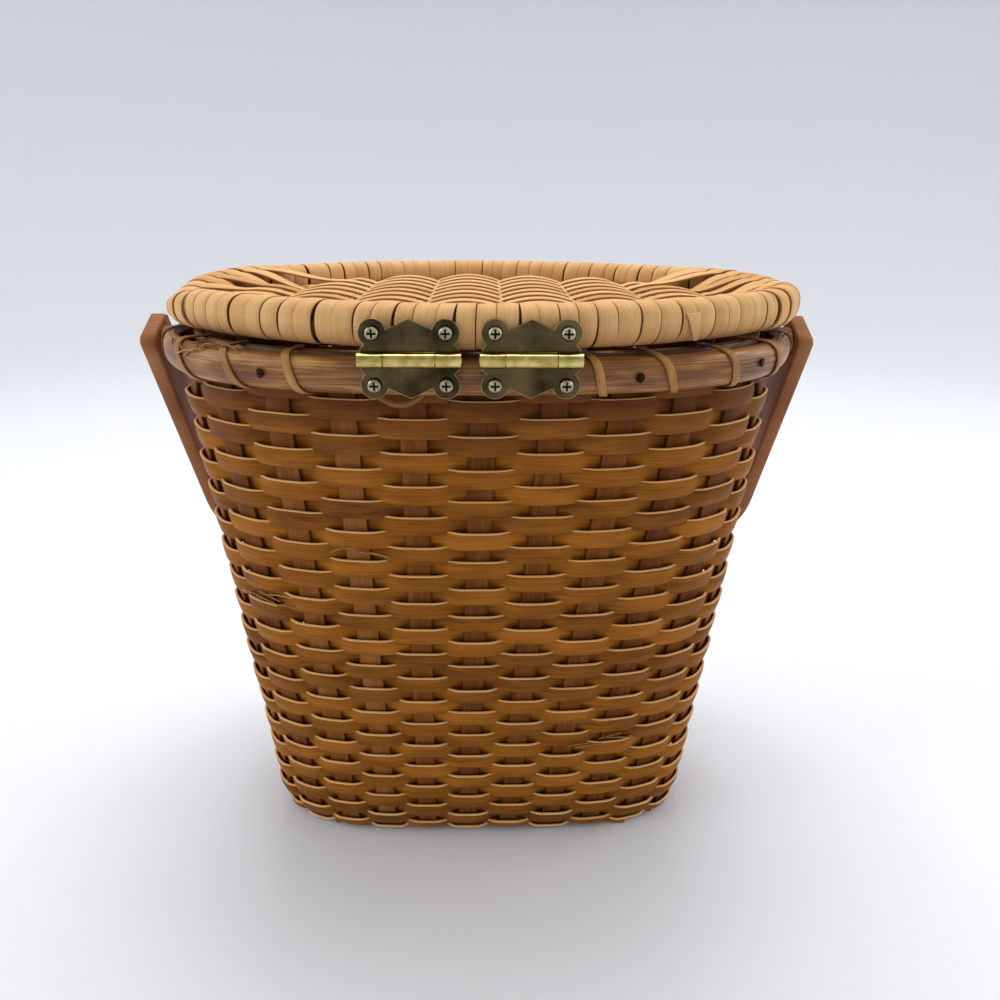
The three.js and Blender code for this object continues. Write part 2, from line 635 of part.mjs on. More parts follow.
const wrapStations = [];
for (let i = 0; i < WRAP_LOOPS * WRAP_STEPS - 1; i += 1) {
  const turn = i / WRAP_STEPS;
  const [offset, z] = lidSection(turn - 0.25, WRAP_CLEARANCE + WRAP_THICKNESS / 2);
  wrapStations.push({ share: turn / WRAP_LOOPS, offset, z });
}
const wrapOutlines = strip(wrapStations, WRAP_COVER_SHARE / WRAP_LOOPS, WRAP_THICKNESS, onLid, [-0.5, 0, 0.5]);
addPiece(lid, 'lid_rim_wrap', cut(loft(wrapOutlines), screwHoles(true)), paleReed);

const PANEL_EDGE = -LID_RIM_WIDTH - PANEL_CLEARANCE;
const panelOutline = (z) => Array.from({ length: AROUND }, (_, i) => onLid(i / AROUND, z, PANEL_EDGE));
const ribX = (i) => RIB_MIDDLE_X + i * RIB_PITCH;
const columnsEachWay = Math.ceil((LID_HALF_LENGTH + LID_SHIFT - RIB_MIDDLE_X) / RIB_PITCH);
const rowsEachWay = Math.ceil(LID_HALF_DEPTH / REED_PITCH);
const panelRows = [];
for (let row = -rowsEachWay; row <= rowsEachWay; row += 1) {
  const y = row * REED_PITCH;
  const outline = [];
  for (let i = -columnsEachWay; i <= columnsEachWay; i += 1) {
    outline.push(new THREE.Vector3(ribX(i), y, PANEL_TOP + (isOutside(row, i) ? PANEL_RELIEF : -PANEL_RELIEF)));
  }
  outline.push(new THREE.Vector3(ribX(columnsEachWay), y, PANEL_BOTTOM - OVERRUN));
  outline.push(new THREE.Vector3(ribX(-columnsEachWay), y, PANEL_BOTTOM - OVERRUN));
  panelRows.push(outline);
}
const panelRoom = toSolid(loft([panelOutline(PANEL_BOTTOM), panelOutline(LID_TOP)]));
const panelWeave = toSolid(loft(panelRows, false, (row, i) => !isOutside(row - rowsEachWay, i - columnsEachWay)));
addPiece(lid, 'lid_panel', toGeometry(panelWeave.intersect(panelRoom)), paleReed);

for (let i = -RIBS_EACH_WAY; i <= RIBS_EACH_WAY; i += 1) {
  const x = ribX(i);
  const farEdge = Math.abs(x - LID_SHIFT) + RIB_WIDTH / 2;
  const a = LID_HALF_LENGTH + PANEL_EDGE;
  const b = LID_HALF_DEPTH + PANEL_EDGE;
  const reach = b * (1 - (farEdge / a) ** LID_SQUARENESS) ** (1 / LID_SQUARENESS);
  const rib = new THREE.BoxGeometry(RIB_WIDTH, 2 * reach, RIB_THICKNESS);
  rib.translate(x, 0, PANEL_BOTTOM - GAP - RIB_THICKNESS / 2);
  addPiece(lid, `lid_rib_${i + RIBS_EACH_WAY + 1}`, rib, ribReed);
}

// Hinges. A leaf is drawn with its barrel along X and its lobes upwards.
function leafOutline() {
  const toSideNotch = Math.atan2(SIDE_NOTCH_UP - LOBE_UP, LEAF_HALF_WIDTH - SIDE_NOTCH_DEPTH - LOBE_OUT);
  const toMiddleNotch = Math.atan2(NOTCH_UP - LOBE_UP, NOTCH_OUT - LOBE_OUT);
  const shape = new THREE.Shape();
  shape.moveTo(-LEAF_HALF_WIDTH, 0);
  shape.lineTo(LEAF_HALF_WIDTH, 0);
  shape.lineTo(LEAF_HALF_WIDTH, SIDE_TOOTH_UP);
  shape.lineTo(LEAF_HALF_WIDTH - SIDE_NOTCH_DEPTH, SIDE_NOTCH_UP);
  shape.absarc(LOBE_OUT, LOBE_UP, LOBE_RADIUS, toSideNotch, toMiddleNotch, false);
  shape.lineTo(NOTCH_OUT, NOTCH_UP);
  shape.lineTo(0, PEAK_UP);
  shape.lineTo(-NOTCH_OUT, NOTCH_UP);
  shape.absarc(-LOBE_OUT, LOBE_UP, LOBE_RADIUS, Math.PI - toMiddleNotch, Math.PI - toSideNotch, false);
  shape.lineTo(-LEAF_HALF_WIDTH + SIDE_NOTCH_DEPTH, SIDE_NOTCH_UP);
  shape.lineTo(-LEAF_HALF_WIDTH, SIDE_TOOTH_UP);
  for (const out of [-1, 1]) {
    const hole = new THREE.Path();
    hole.absarc(out * LOBE_OUT, LOBE_UP, SCREW_SHANK_RADIUS + GAP, 0, 2 * Math.PI, true);
    shape.holes.push(hole);
  }
  return shape;
}

const onBarrel = (x) => new THREE.Vector3(x, -BARREL_RADIUS, 0);
const halfMiddle = MIDDLE_KNUCKLE_LENGTH / 2;
const middleKnuckle = [[-halfMiddle + GAP / 2, halfMiddle - GAP / 2]];
const outerKnuckles = [[-BARREL_LENGTH / 2, -halfMiddle - GAP / 2], [halfMiddle + GAP / 2, BARREL_LENGTH / 2]];
function leaf(own, others) {
  const plate = new THREE.ExtrudeGeometry(leafOutline(), {
    depth: LEAF_THICKNESS,
    bevelEnabled: false,
    curveSegments: ROUND_SIDES,
  }).rotateX(Math.PI / 2);
  let solid = toSolid(plate);
  for (const [from, to] of others) {
    solid = solid.subtract(toSolid(rod(onBarrel(from - GAP), onBarrel(to + GAP), BARREL_RADIUS + GAP)));
  }
  for (const [from, to] of own) {
    solid = solid.add(toSolid(rod(onBarrel(from), onBarrel(to), BARREL_RADIUS)));
  }
  const bore = rod(onBarrel(-BARREL_LENGTH), onBarrel(BARREL_LENGTH), PIN_RADIUS + GAP);
  return toGeometry(solid.subtract(toSolid(bore)));
}
for (const { side, x } of hinges) {
  const lidLeaf = leaf(middleKnuckle, outerKnuckles);
  addPiece(lid, `${side}_lid_leaf`, lidLeaf.translate(x, LEAF_BACK_Y, HINGE_AXIS_Z), brass);
  const rimLeaf = leaf(outerKnuckles, middleKnuckle).rotateY(Math.PI);
  addPiece(body, `${side}_rim_leaf`, rimLeaf.translate(x, LEAF_BACK_Y, HINGE_AXIS_Z), brass);
  const halfPin = BARREL_LENGTH / 2 + PIN_PROUD;
  const pin = rod(onBarrel(-halfPin), onBarrel(halfPin), PIN_RADIUS);
  addPiece(body, `${side}_hinge_pin`, pin.translate(x, LEAF_BACK_Y, HINGE_AXIS_Z), brass);
}

// Pan-head screws with a cross recess
const screwProfile = [
  [0, -SCREW_LENGTH - LEAF_THICKNESS - GAP],
  [SCREW_SHANK_RADIUS, -SCREW_LENGTH + SCREW_SHANK_RADIUS],
  [SCREW_SHANK_RADIUS, 0],
  [SCREW_HEAD_RADIUS, 0],
  [SCREW_HEAD_RADIUS, SCREW_HEAD_HEIGHT / 2],
  [SCREW_HEAD_RADIUS - SCREW_HEAD_HEIGHT / 2, SCREW_HEAD_HEIGHT],
  [0, SCREW_HEAD_HEIGHT],
];
for (const { name, x, z, inLid } of screws) {
  const head = new THREE.Vector3(x, LEAF_FRONT_Y - GAP, z);
  const screw = turned(screwProfile, head.clone().setY(LEAF_BACK_Y + SCREW_LENGTH), head);
  const recess = [[RECESS_LENGTH, RECESS_WIDTH], [RECESS_WIDTH, RECESS_LENGTH]].map(([width, height]) => {
    const slot = new THREE.BoxGeometry(width, 2 * RECESS_DEPTH, height);
    return toSolid(slot.translate(x, head.y - SCREW_HEAD_HEIGHT, z));
  });
  addPiece(inLid ? lid : body, name, cut(screw, recess), steel);
}

// Handle bow, drawn hanging straight down from its pivots and then swung out to where it rests
const bowHalfWidth = HANDLE_INSIDE_HALF_WIDTH + HANDLE_THICKNESS / 2;
const bowPath = [];
const endDrops = [-HANDLE_END, -HANDLE_END + HANDLE_EDGE, -HANDLE_END / 2, 0, HANDLE_STRAIGHT];
const endWidths = [HANDLE_END_WIDTH, (HANDLE_END_WIDTH + HANDLE_WIDTH) / 2, HANDLE_WIDTH, HANDLE_WIDTH];
for (const [i, drop] of endDrops.entries()) {
  bowPath.push({ x: -bowHalfWidth, drop, width: endWidths[i] ?? HANDLE_WIDTH });
}
for (let i = 1; i < HANDLE_ARCH_STEPS; i += 1) {
  const angle = Math.PI - (Math.PI * i) / HANDLE_ARCH_STEPS;
  const share = 2 / HANDLE_SQUARENESS;
  bowPath.push({
    x: bowHalfWidth * Math.sign(Math.cos(angle)) * Math.abs(Math.cos(angle)) ** share,
    drop: HANDLE_STRAIGHT + HANDLE_RISE * Math.sin(angle) ** share,
    width: HANDLE_WIDTH,
  });
}
for (const { x, drop, width } of bowPath.slice(0, endDrops.length).reverse()) {
  bowPath.push({ x: -x, drop, width });
}
const bowOutlines = bowPath.map(({ x, drop, width }, i) => {
  const before = bowPath[Math.max(i - 1, 0)];
  const after = bowPath[Math.min(i + 1, bowPath.length - 1)];
  const run = new THREE.Vector2(after.x - before.x, after.drop - before.drop).normalize();
  const halfThickness = HANDLE_THICKNESS / 2;
  const halfWidth = width / 2;
  const section = [
    [halfThickness, halfWidth - HANDLE_EDGE],
    [halfThickness - HANDLE_EDGE, halfWidth],
    [HANDLE_EDGE - halfThickness, halfWidth],
    [-halfThickness, halfWidth - HANDLE_EDGE],
  ];
  return [...section, ...section.map(([t, w]) => [-t, -w])].map(([t, w]) => new THREE.Vector3(
    x + t * run.y,
    w,
    -drop + t * run.x,
  ));
});
const bowHoles = pivots.map(([, side]) => toSolid(rod(
  new THREE.Vector3(side * (HANDLE_INSIDE_HALF_WIDTH - OVERRUN), 0, 0),
  new THREE.Vector3(side * (HANDLE_OUTSIDE + OVERRUN), 0, 0),
  PIVOT_RADIUS + GAP,
)));
addPiece(handle, 'handle_bow', cut(loft(bowOutlines), bowHoles), handleWood);

// It swings out from straight down until its arch clears the wall
const archDrop = HANDLE_STRAIGHT + HANDLE_RISE;
let [restAngle, tooFar] = [0, Math.PI / 2];
while (tooFar - restAngle > 1 / PLAN_SAMPLES ** 2) {
  const angle = (restAngle + tooFar) / 2;
  const y = archDrop * Math.sin(angle) - (HANDLE_WIDTH / 2) * Math.cos(angle);
  const z = PIVOT_Z - archDrop * Math.cos(angle) - (HANDLE_WIDTH / 2) * Math.sin(angle);
  if (y - wallCurve(z, 0).points[PLAN_SAMPLES / 4].y < HANDLE_WALL_GAP) restAngle = angle;
  else tooFar = angle;
}
handle.position.set(0, 0, PIVOT_Z);
handle.rotation.x = restAngle;

console.log(`rim lashing: ${LASHED_SPACES.length} loops,`,
  `least gap to itself ${leastGap(lashingOutlines, STATIONS_IN_LOOP).toFixed(2)} mm`);
console.log(`lid wrap: ${WRAP_LOOPS} loops,`,
  `least gap to itself ${leastGap(wrapOutlines, WRAP_STEPS).toFixed(2)} mm`);

export default basket;
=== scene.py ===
"""Lidded oval basket: woven walls and lid, lashed rim, brass butterfly hinges and a bentwood handle.

Lengths are millimetres, except in the setting. A piece is brought to metres once, by finish_piece.
"""
import json
import math
import random

import bmesh
import bpy
import numpy as np
from mathutils import Matrix, Vector


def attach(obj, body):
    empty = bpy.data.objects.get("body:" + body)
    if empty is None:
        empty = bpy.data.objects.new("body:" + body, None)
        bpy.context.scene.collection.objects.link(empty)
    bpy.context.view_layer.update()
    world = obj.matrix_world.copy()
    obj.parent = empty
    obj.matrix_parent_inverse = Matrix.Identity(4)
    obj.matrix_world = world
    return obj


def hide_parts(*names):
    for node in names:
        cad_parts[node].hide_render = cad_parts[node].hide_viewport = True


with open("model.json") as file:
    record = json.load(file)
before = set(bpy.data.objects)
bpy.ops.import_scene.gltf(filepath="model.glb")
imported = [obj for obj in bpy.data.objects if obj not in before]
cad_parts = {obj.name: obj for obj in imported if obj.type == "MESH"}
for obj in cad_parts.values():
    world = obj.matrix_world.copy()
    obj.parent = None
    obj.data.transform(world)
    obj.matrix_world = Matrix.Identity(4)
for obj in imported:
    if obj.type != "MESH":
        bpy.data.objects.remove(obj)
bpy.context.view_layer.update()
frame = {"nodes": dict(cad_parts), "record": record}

MM = 0.001
SEED = 7

# Body
BODY_HEIGHT = 210.3
BASE_PLAN = (87.3, 38.3, 3.55)      # half length, half depth, squareness
MOUTH_PLAN = (105.4, 66.3, 2.5)
FLARE_EXPONENT = 1.1
FOOT_RADIUS = 5.0
RIM_HEIGHT = 11.5
RIM_TOP = BODY_HEIGHT
RIM_BOTTOM = RIM_TOP - RIM_HEIGHT
RIM_MIDDLE = (RIM_TOP + RIM_BOTTOM) / 2
HINGE_SIDE_SHARE = 0.75             # where the middle of the hinge side lies on a plan's length

# Stakes
STAKES = 26
STAKE_TOP_WIDTH = 8.8
STAKE_FOOT_WIDTH = 7.6
STAKE_THICKNESS = 1.2
STAKE_EDGE = 0.15
STAKE_LEAN = 8.3                    # the foot of a middle stake lies this far to -X of its top
STAKE_MIDDLE_X = 2.4
STAKE_TURNED_UNDER = 2.0
STAKE_TOP_GAP = 1.5
STAKE_STEPS = 60
CROSS_STAKES_EACH_WAY = 4
LONG_STAKES = (6, 7)
CORNER_STAKES = (5, 8, 18, 21)

# Weave of the wall, with offsets outwards from the wall's mean surface
REED_WIDTH = 6.75
REED_THICKNESS = 1.0
REED_EDGE = 0.18
REED_SWING = 1.3                    # a reed's middle either side of the stakes' middle
REED_CROSSING = (0.25, 0.8)          # in stakes from the one it passes outside, where its way in starts and ends
REED_CROWN = 0.5                    # further out in the middle of a stretch outside a stake
CROWN_REACH = 0.6                   # in stakes, from the middle of that stretch
REED_DIP = 0.7                      # lower where it runs behind a stake
REED_ARCH = 0.12                    # rounding across a reed's width
REED_WAVE = 0.2                     # a reed lies up to this much higher or lower on a stake
REED_BULGES = (0.3, 1.5)            # shares of the crown, one for each stake
REED_LEANS = (0.2, 0.9)             # how far a reed's upper edge leans out
REED_TONES = (0.15, 0.85)
REED_END_GAP = 0.08                 # in stakes, between a reed's two ends
WEAVE_MIDDLE = -0.3
FOOT_SETTLE = 2.1                   # how far the weave draws in at the foot
FOOT_SETTLED = (3, 16)              # heights where it is drawn in fully and not at all
RIM_SETTLE = 1.3                    # and under the rim
RIM_SETTLED = (189, 199)
FLOOR_CLEARANCE = 0.02
ROW_PITCH = 5.754
ROW_SLACK = 0.12                    # rows differ by up to this in height and in width
FIRST_ROW_TOP = 196.8
ROWS = range(-1, 35)
UPPER_ROWS = 18
STEPS_PER_STAKE = 12
RING_STEPS = STAKES * STEPS_PER_STAKE

# Weave of the base
BASE_LEVEL = 1.75
BASE_ROWS_EACH_WAY = 5
BASE_ROW_PITCH = 6.3
BASE_REED_WIDTH = 5.4
BASE_REED_THICKNESS = 0.9
BASE_REED_EDGE = 0.12
BASE_SWING = 1.05
BASE_MIDDLE_X = -5.5
BASE_INSETS = (4.5, 2.5)            # of the weave's ends and of its outer rows
BASE_WIDEST_SHARE = 0.97
BASE_STEPS = 96
BASE_STAKE_STEPS = 24
BASE_RAMP_SHARE = 0.125             # a stake comes up to its level over this share of the base
LONG_STAKE_LIFT = 1.1

# Rim and lashing
OUTER_HOOP = (0.3, 5.7, 2.4)        # offsets of its back and face, squareness of its section
OUTER_HOOP_LENGTH = 560
OUTER_HOOP_GIRTH = 24
HOOP_FACE_SHARE = 0.86              # of the steps round the section, the rest being its flat back
HOOP_SECTION_STEPS = 22
HOOP_SWELLS = ((0.035, 7), (0.02, 17))      # height and number of the uneven swells round it
INNER_HOOP = (-5.0, -7.2)
INNER_HOOP_LENGTH = 540
INNER_HOOP_EDGE = 0.5
HOOP_TONES = (0.5, 0.3)
MERGE = 0.01
CANE_WIDTH = 2.7
CANE_THICKNESS = 0.6
CANE_EDGE = 0.12
CANE_TONE = 0.5
CANE_CLEARANCE = 0.2
CANE_TAIL = 2.7                     # how far a loop's ends run along the inside
CANE_SLANT = 0.22                   # in stakes
CANE_SLANT_SPREAD = (-0.06, 0.25)
CANE_DRIFT = 0.1
CANE_LOOP_STEPS = 12
CANE_LOOP_LENGTH = 36.0
LASHED_SPACES = [1, 2, 3, 4, 5, 7, 8, 9, 10, 11, 12, 13, 14, 15, 16, 17, 18, 20, 21, 22, 23]

# Loose cane
SLACK_ENDS = (-31.0, -15.5)         # the slack loop's ends, from the middle of the hinge side
SLACK_TOP = 1.5                     # above the rim's bottom
SLACK_DROP = 4.4
SLACK_WIDTH = 1.8
SLACK_LENGTH = 20.0
SLACK_OUT = 2.0
SLACK_SWELL = 0.6
SLACK_ROUNDNESS = 0.7
SLACK_TONE = 0.1
SLACK_STEPS = 24
LOOSE_THICKNESS = 0.35
STRAND_STEPS = 10
FRAYS = ((0.607, 12), (0.943, 9), (0.58, 5))        # where on the rim, and how many frayed ends
FRAY_SPREAD = 8.0
FRAY_LENGTH = 9.0
FRAY_WIDTH = 0.35
FRAY_OUTS = (1.5, 5.5)
FRAY_UPS = (0.0, 1.2)
FRAY_HIGHEST = 1.9
FRAY_FALLS = (0.0, 3.5)
FRAY_RISES = (0.2, 1.0)
FRAY_ARCH_SHARE = 0.8               # of an arch that a frayed end goes through
FRAY_OUT_SHARE = 0.5                # how far out its tip moves, for its fall
HOOP_ROUNDING = 0.06                # how fast the hoop's top falls away outwards
SPLINTERS = ((0.601, 118.0, 6), (0.85, 54.0, 4), (0.668, 142.0, 3))     # the same on the wall, with heights
SPLINTER_SPREAD = 5.0
SPLINTER_REACHES = (6, 13)
SPLINTER_LENGTH = 10.0
SPLINTER_WIDTH = 0.4
SPLINTER_HEIGHTS = 3.0
SPLINTER_SLOPE = 0.3
SPLINTER_OUTS = (1.6, 2.2)
SPLINTER_BEND = 1.0
SPLINTER_OUT_SHARE = 0.8            # how far out it bends, for its bend upwards

# Lid's edge
LID_PLAN = (113.7, 74.2, 1.9)
LID_SHIFT = 1.5
LID_BOTTOM = RIM_TOP + 2.6
LID_HEIGHT = 12.9
LID_RIM_WIDTH = 11.0
LID_RIM_SQUARENESS = 2.35
LID_ENDS = ((5.8, 1.6, 0.515, 0.034), (1.4, 0.2, 0.0, 0.026))     # lower top, inset, where and how wide
LID_CORE_INSET = 1.7
LID_CORE_LENGTH = 580
LID_CORE_GIRTH = 30
LID_CORE_TONE = 0.2
LID_CORE_STEPS = (260, 20)
STRIP_WIDTHS = (4.9, 7.3)
STRIP_LENGTH = 42
STRIP_THICKNESS = 0.4
STRIP_EDGE = 0.08
STRIP_STEPS = 32
NARROW_GAPS = (0.0, 0.16)
WIDE_GAPS = (0.3, 0.6)
WIDE_GAP_SHARE = 0.12               # of the strips
STRIP_SLANTS = (0.6, 3.4)
STRIP_BOWS = (0.8, 2.0)
STRIP_LIFTS = (0.0, 0.2)
STRIP_LEAN = 0.05
STRIP_TONES = (0.3, 0.7)
STRIP_SET_IN = 0.4
STRIP_SINK = 1.3                    # deeper where the weave runs out over them
SINK_EASE = 2.0
TEAR_SHARE = 0.857                  # where a strip's torn end has lifted
TEAR_SIZE = (9, 5)
TEAR_HALF_WIDTH = 2.7
TEAR_NARROWING = 0.7
TEAR_DRIFT = 1.2
TEAR_TURNS = (0.31, 0.15)           # from its root to its tip, as turns round the section
TEAR_LIFTS = (0.15, 1.5)
TEAR_CURL = 1.5
TEAR_TONE = 1.0
TEAR_STEPS = 12

# Lid's weave
LID_WEAVE_LEVEL = 218.0             # middle of the weave
LID_REED_WIDTH = 5.0
LID_REED_SLACK = 0.2                # in width and place
LID_REED_THICKNESS = 0.75
LID_REED_EDGE = 0.1
LID_REED_TILT = 0.15
LID_REED_GROWS = (-0.25, 0.1)       # how proud of the strips a reed lies over the ends
LID_SWING = 2.4
LID_SWING_POWER = 0.85
LID_ROWS_EACH_WAY = 10
LID_SHORTEST_HALF = 8
LID_TUCK = 1.5                      # how far reeds and ribs run in under the edge
LID_ROW_EDGE = 2.6
LID_FADE = 14                       # a tucked reed flattens out over this length
LID_TUCKED_DROP = 0.8
LID_RIB_MIDDLE_X = -5.0
LID_RIB_PITCH = 25.7
LID_RIB_WIDTH = 8.0
LID_RIB_THICKNESS = 2.4
LID_RIB_EDGE = 0.4
LID_RIB_DROP = 0.4
LID_RIB_GAP = 1.0                   # a rib ends this much short of a tucked reed's reach
LID_RIB_STEPS = 40
LID_RIBS = 7
LID_MIDDLE_STEPS = 96
OVER_RIM_HALF_WIDTH = 38.0          # rows nearer the middle than this run out over the lid's ends
OVER_RIM_STEPS = 20
OVER_RIM_RUN = 15
OVER_RIM_TURNS = (0.6, 0.03)        # where on the edge's section such a reed lands and ends
CLIMB_SHARE = 0.35                  # of that stretch

# Hinges
HINGE_AXIS_Z = 211.3
HINGE_AXIS_Y = -76.7
BARREL_RADIUS = 2.2
BARREL_SLACK = 0.1
BARREL_SMALLEST_FACET = 0.4         # square millimetres, what is smaller being a knuckle's end
SCREW_FRONT_Y = -76.8
SCREW_RECESS = (0.25, 0.4)          # behind the front, where the painted shade begins and is full
LEAF_EDGE = 0.24
LEAF_MERGE = 0.001

# Handle
PIVOT_Z = 202.5
HANDLE_INSIDE = 116.3
HANDLE_THICKNESS = 5.7
HANDLE_WIDTH = 18.0
HANDLE_STRAIGHT = 80.0
HANDLE_RISE = 52.0
HANDLE_END = 7.0
HANDLE_CORNER = 2.2
HANDLE_EDGE = 0.9
HANDLE_SQUARENESS = 2.4
HANDLE_REST_DEGREES = 26.8
HANDLE_STRAIGHT_STEPS = 30
HANDLE_ARCH_STEPS = 60
HANDLE_STEPS = 240
HANDLE_TONE = 0.5

# Every piece
SHARP_DEGREES = 50                  # edges sharper than this are rounded

# Setting, in metres
SWEEP_FLOOR = 1.1                   # radius of the flat part
SWEEP_CURVE = 0.7
SWEEP_FRONT_WALL = 0.25
SWEEP_BACK_WALL = 2.2
SWEEP_RISE = (-0.2, 0.7)            # sines of the bearing from +X between which the wall rises
SWEEP_STEPS = (96, 60)
SWEEP_MERGE = 0.0001
ROOM_STRENGTH = 0.57
LAMPS = (("top lamp", (0.0, 0.4, 1.3), 0.9, 12.3),          # place, size and watts
         ("left lamp", (-1.15, -0.2, 0.7), 0.8, 5.5),
         ("right lamp", (1.15, 0.1, 0.7), 0.8, 5.0))
LAMP_AIM = (0, 0, 0.15)
CAMERA_PLACE = (0.00204, -0.2860, 0.2554)
CAMERA_PITCH_DEGREES = 22.27
CAMERA_YAW, CAMERA_ROLL = -0.021, 0.007
CAMERA_SENSOR_MM = 36.0
CAMERA_LENS_MM = 27.36
CAMERA_NEAREST = 0.01


# Colours and materials

def colour(hex_value):
    """An sRGB hex colour as linear RGBA."""
    channels = [int(hex_value[i:i + 2], 16) / 255 for i in (1, 3, 5)]
    return tuple(c / 12.92 if c <= 0.04045 else ((c + 0.055) / 1.055) ** 2.4 for c in channels) + (1.0,)


def add_node(tree, kind, inputs=None, stops=(), **settings):
    """Adds a node, sets its properties and colour stops, and fills or links its inputs."""
    node = tree.nodes.new("ShaderNode" + kind)
    for name, value in settings.items():
        setattr(node, name, value)
    for key, value in (inputs or {}).items():
        if isinstance(value, bpy.types.NodeSocket):
            tree.links.new(value, node.inputs[key])
        else:
            node.inputs[key].default_value = value
    if stops:
        elements = node.color_ramp.elements
        while len(elements) < len(stops):
            elements.new(0.5)
        for element, (position, hex_value) in zip(elements, stops):
            element.position = position
            element.color = colour(hex_value)
    return node


def new_material(name):
    material = bpy.data.materials.new(name)
    material.use_nodes = True
    tree = material.node_tree
    tree.nodes.clear()
    shader = add_node(tree, "BsdfPrincipled")
    output = add_node(tree, "OutputMaterial")
    tree.links.new(shader.outputs[0], output.inputs[0])
    return material, tree, shader


def grain(tree, place, sizes_mm, detail):
    """An uneven pattern whose marks have the given sizes along X, Y and Z."""
    scale = tuple(1 / (size * MM) for size in sizes_mm)
    placed = add_node(tree, "Mapping", {"Vector": place, "Scale": scale}).outputs[0]
    return add_node(tree, "TexNoise", {"Vector": placed, "Scale": 1.0, "Detail": detail}).outputs["Fac"]


FIBRE_LENGTH_SHARE = 30             # a fibre's length over its width
BLOTCH_MM = (22.2, 6.25)            # paler and darker stretches, along and across a strip
TONE_SHIFT_MM = 25.0                # how far apart two strips' patterns can lie
TONE_WEIGHT = 0.6                   # of a strip's own tone beside its fibres and blotches
TURNED_GRAIN_MM = (16.7, 0.667, 0.667)
MARK_LEVELS = (0.8, 1.8)            # of tone and marks together, from the dark colour to the light one
REED_ROUGHNESS = (-0.08, 0.12)      # smoother and rougher than a reed's own, by its fibres
METAL_ROUGHNESS = (-0.04, 0.08)     # the same for a metal, by its patches
EDGE_HIGHLIGHT_LEVELS = (0.995, 0.9)          # how far the soft edge leans from the flat face, as a cosine, where the painted highlight on a brass edge begins and is full
RIM_PAINTED_SHADE = ("#50290f", 176, 200, 0.8)      # painted shade under the rim: tint, heights where it begins and is full, and its strength
# Stain and painted shade low on the lid's edge strips: browner towards their bottom
LOW_STAIN_AND_SHADE = ("#7a4618", 220, 212, 0.72)


def reed_material(name, dark, middle, light, edge, roughness=0.55, fibre_mm=0.5, bump_mm=0.07, stain_and_shade=None,
                  edge_share=0.03, edge_above=False, gloss=0.16):
    """Reed, cane or slat: long fibres, a satin face, edges of their own and a tone for each strip."""
    material, tree, shader = new_material(name)
    uv = add_node(tree, "UVMap", uv_map="UVMap").outputs["UV"]
    tone = add_node(tree, "Attribute", attribute_name="tone").outputs["Fac"]
    across = add_node(tree, "Attribute", attribute_name="across").outputs["Fac"]
    shift = add_node(tree, "CombineXYZ", {"Z": tone}).outputs[0]
    placed = add_node(tree, "VectorMath", {0: uv, 1: shift}, operation="ADD").outputs[0]
    fibres = grain(tree, placed, (FIBRE_LENGTH_SHARE * fibre_mm, fibre_mm, TONE_SHIFT_MM), 3.0)
    blotches = grain(tree, placed, (*BLOTCH_MM, TONE_SHIFT_MM), 2.0)
    marks = add_node(tree, "Math", {0: fibres, 1: blotches}, operation="ADD").outputs[0]
    marks = add_node(tree, "Math", {0: tone, 1: TONE_WEIGHT, 2: marks}, operation="MULTIPLY_ADD").outputs[0]
    level = add_node(tree, "MapRange", {"Value": marks, "From Min": MARK_LEVELS[0],
                                        "From Max": MARK_LEVELS[1]}).outputs[0]
    stops = [(0.0, dark), (0.5, middle), (1.0, light)]
    face = add_node(tree, "ValToRGB", {"Fac": level}, stops=stops).outputs["Color"]
    # Darkening by height: painted shade under the wall's rim, and stain with painted shade low on the lid's
    # strips
    if stain_and_shade:
        tint, clear_at, full_at, amount = stain_and_shade
        place = add_node(tree, "TexCoord").outputs["Object"]
        height = add_node(tree, "SeparateXYZ", {0: place}).outputs["Z"]
        share = add_node(tree, "MapRange", {"Value": height, "From Min": clear_at * MM,
                                            "From Max": full_at * MM, "To Max": amount}).outputs[0]
        face = add_node(tree, "Mix", {0: share, 6: face, 7: colour(tint)}, data_type="RGBA").outputs[2]
    # Edge colour, painted light on some materials: a painted highlight on the wall reeds' upper edge, and
    # painted shade along the edges of the stakes, the lid's reeds and its edge strips
    from_middle = add_node(tree, "Math", {0: across, 1: 0.5}, operation="SUBTRACT").outputs[0]
    if not edge_above:
        from_middle = add_node(tree, "Math", {0: from_middle}, operation="ABSOLUTE").outputs[0]
    at_edge = add_node(tree, "MapRange", {"Value": from_middle, "From Min": 0.5 - 1.6 * edge_share,
                                          "From Max": 0.5 - 0.6 * edge_share, "To Max": 0.9}).outputs[0]
    face = add_node(tree, "Mix", {0: at_edge, 6: face, 7: colour(edge)}, data_type="RGBA").outputs[2]
    rough = add_node(tree, "MapRange", {"Value": fibres, "To Min": roughness + REED_ROUGHNESS[0],
                                        "To Max": roughness + REED_ROUGHNESS[1]}).outputs[0]
    bump = add_node(tree, "Bump", {"Height": fibres, "Strength": 0.5, "Distance": bump_mm * MM}).outputs[0]
    tree.links.new(face, shader.inputs["Base Color"])
    tree.links.new(rough, shader.inputs["Roughness"])
    tree.links.new(bump, shader.inputs["Normal"])
    shader.inputs["IOR"].default_value = 1.45
    shader.inputs["Specular IOR Level"].default_value = gloss
    return material


def turned_wood(name, dark, light):
    """Small turned piece of the handle's wood, its grain along its axis."""
    material, tree, shader = new_material(name)
    place = add_node(tree, "TexCoord").outputs["Object"]
    marks = grain(tree, place, TURNED_GRAIN_MM, 3.0)
    face = add_node(tree, "ValToRGB", {"Fac": marks}, stops=[(0.3, dark), (0.7, light)]).outputs["Color"]
    tree.links.new(face, shader.inputs["Base Color"])
    shader.inputs["Roughness"].default_value = 0.6
    return material


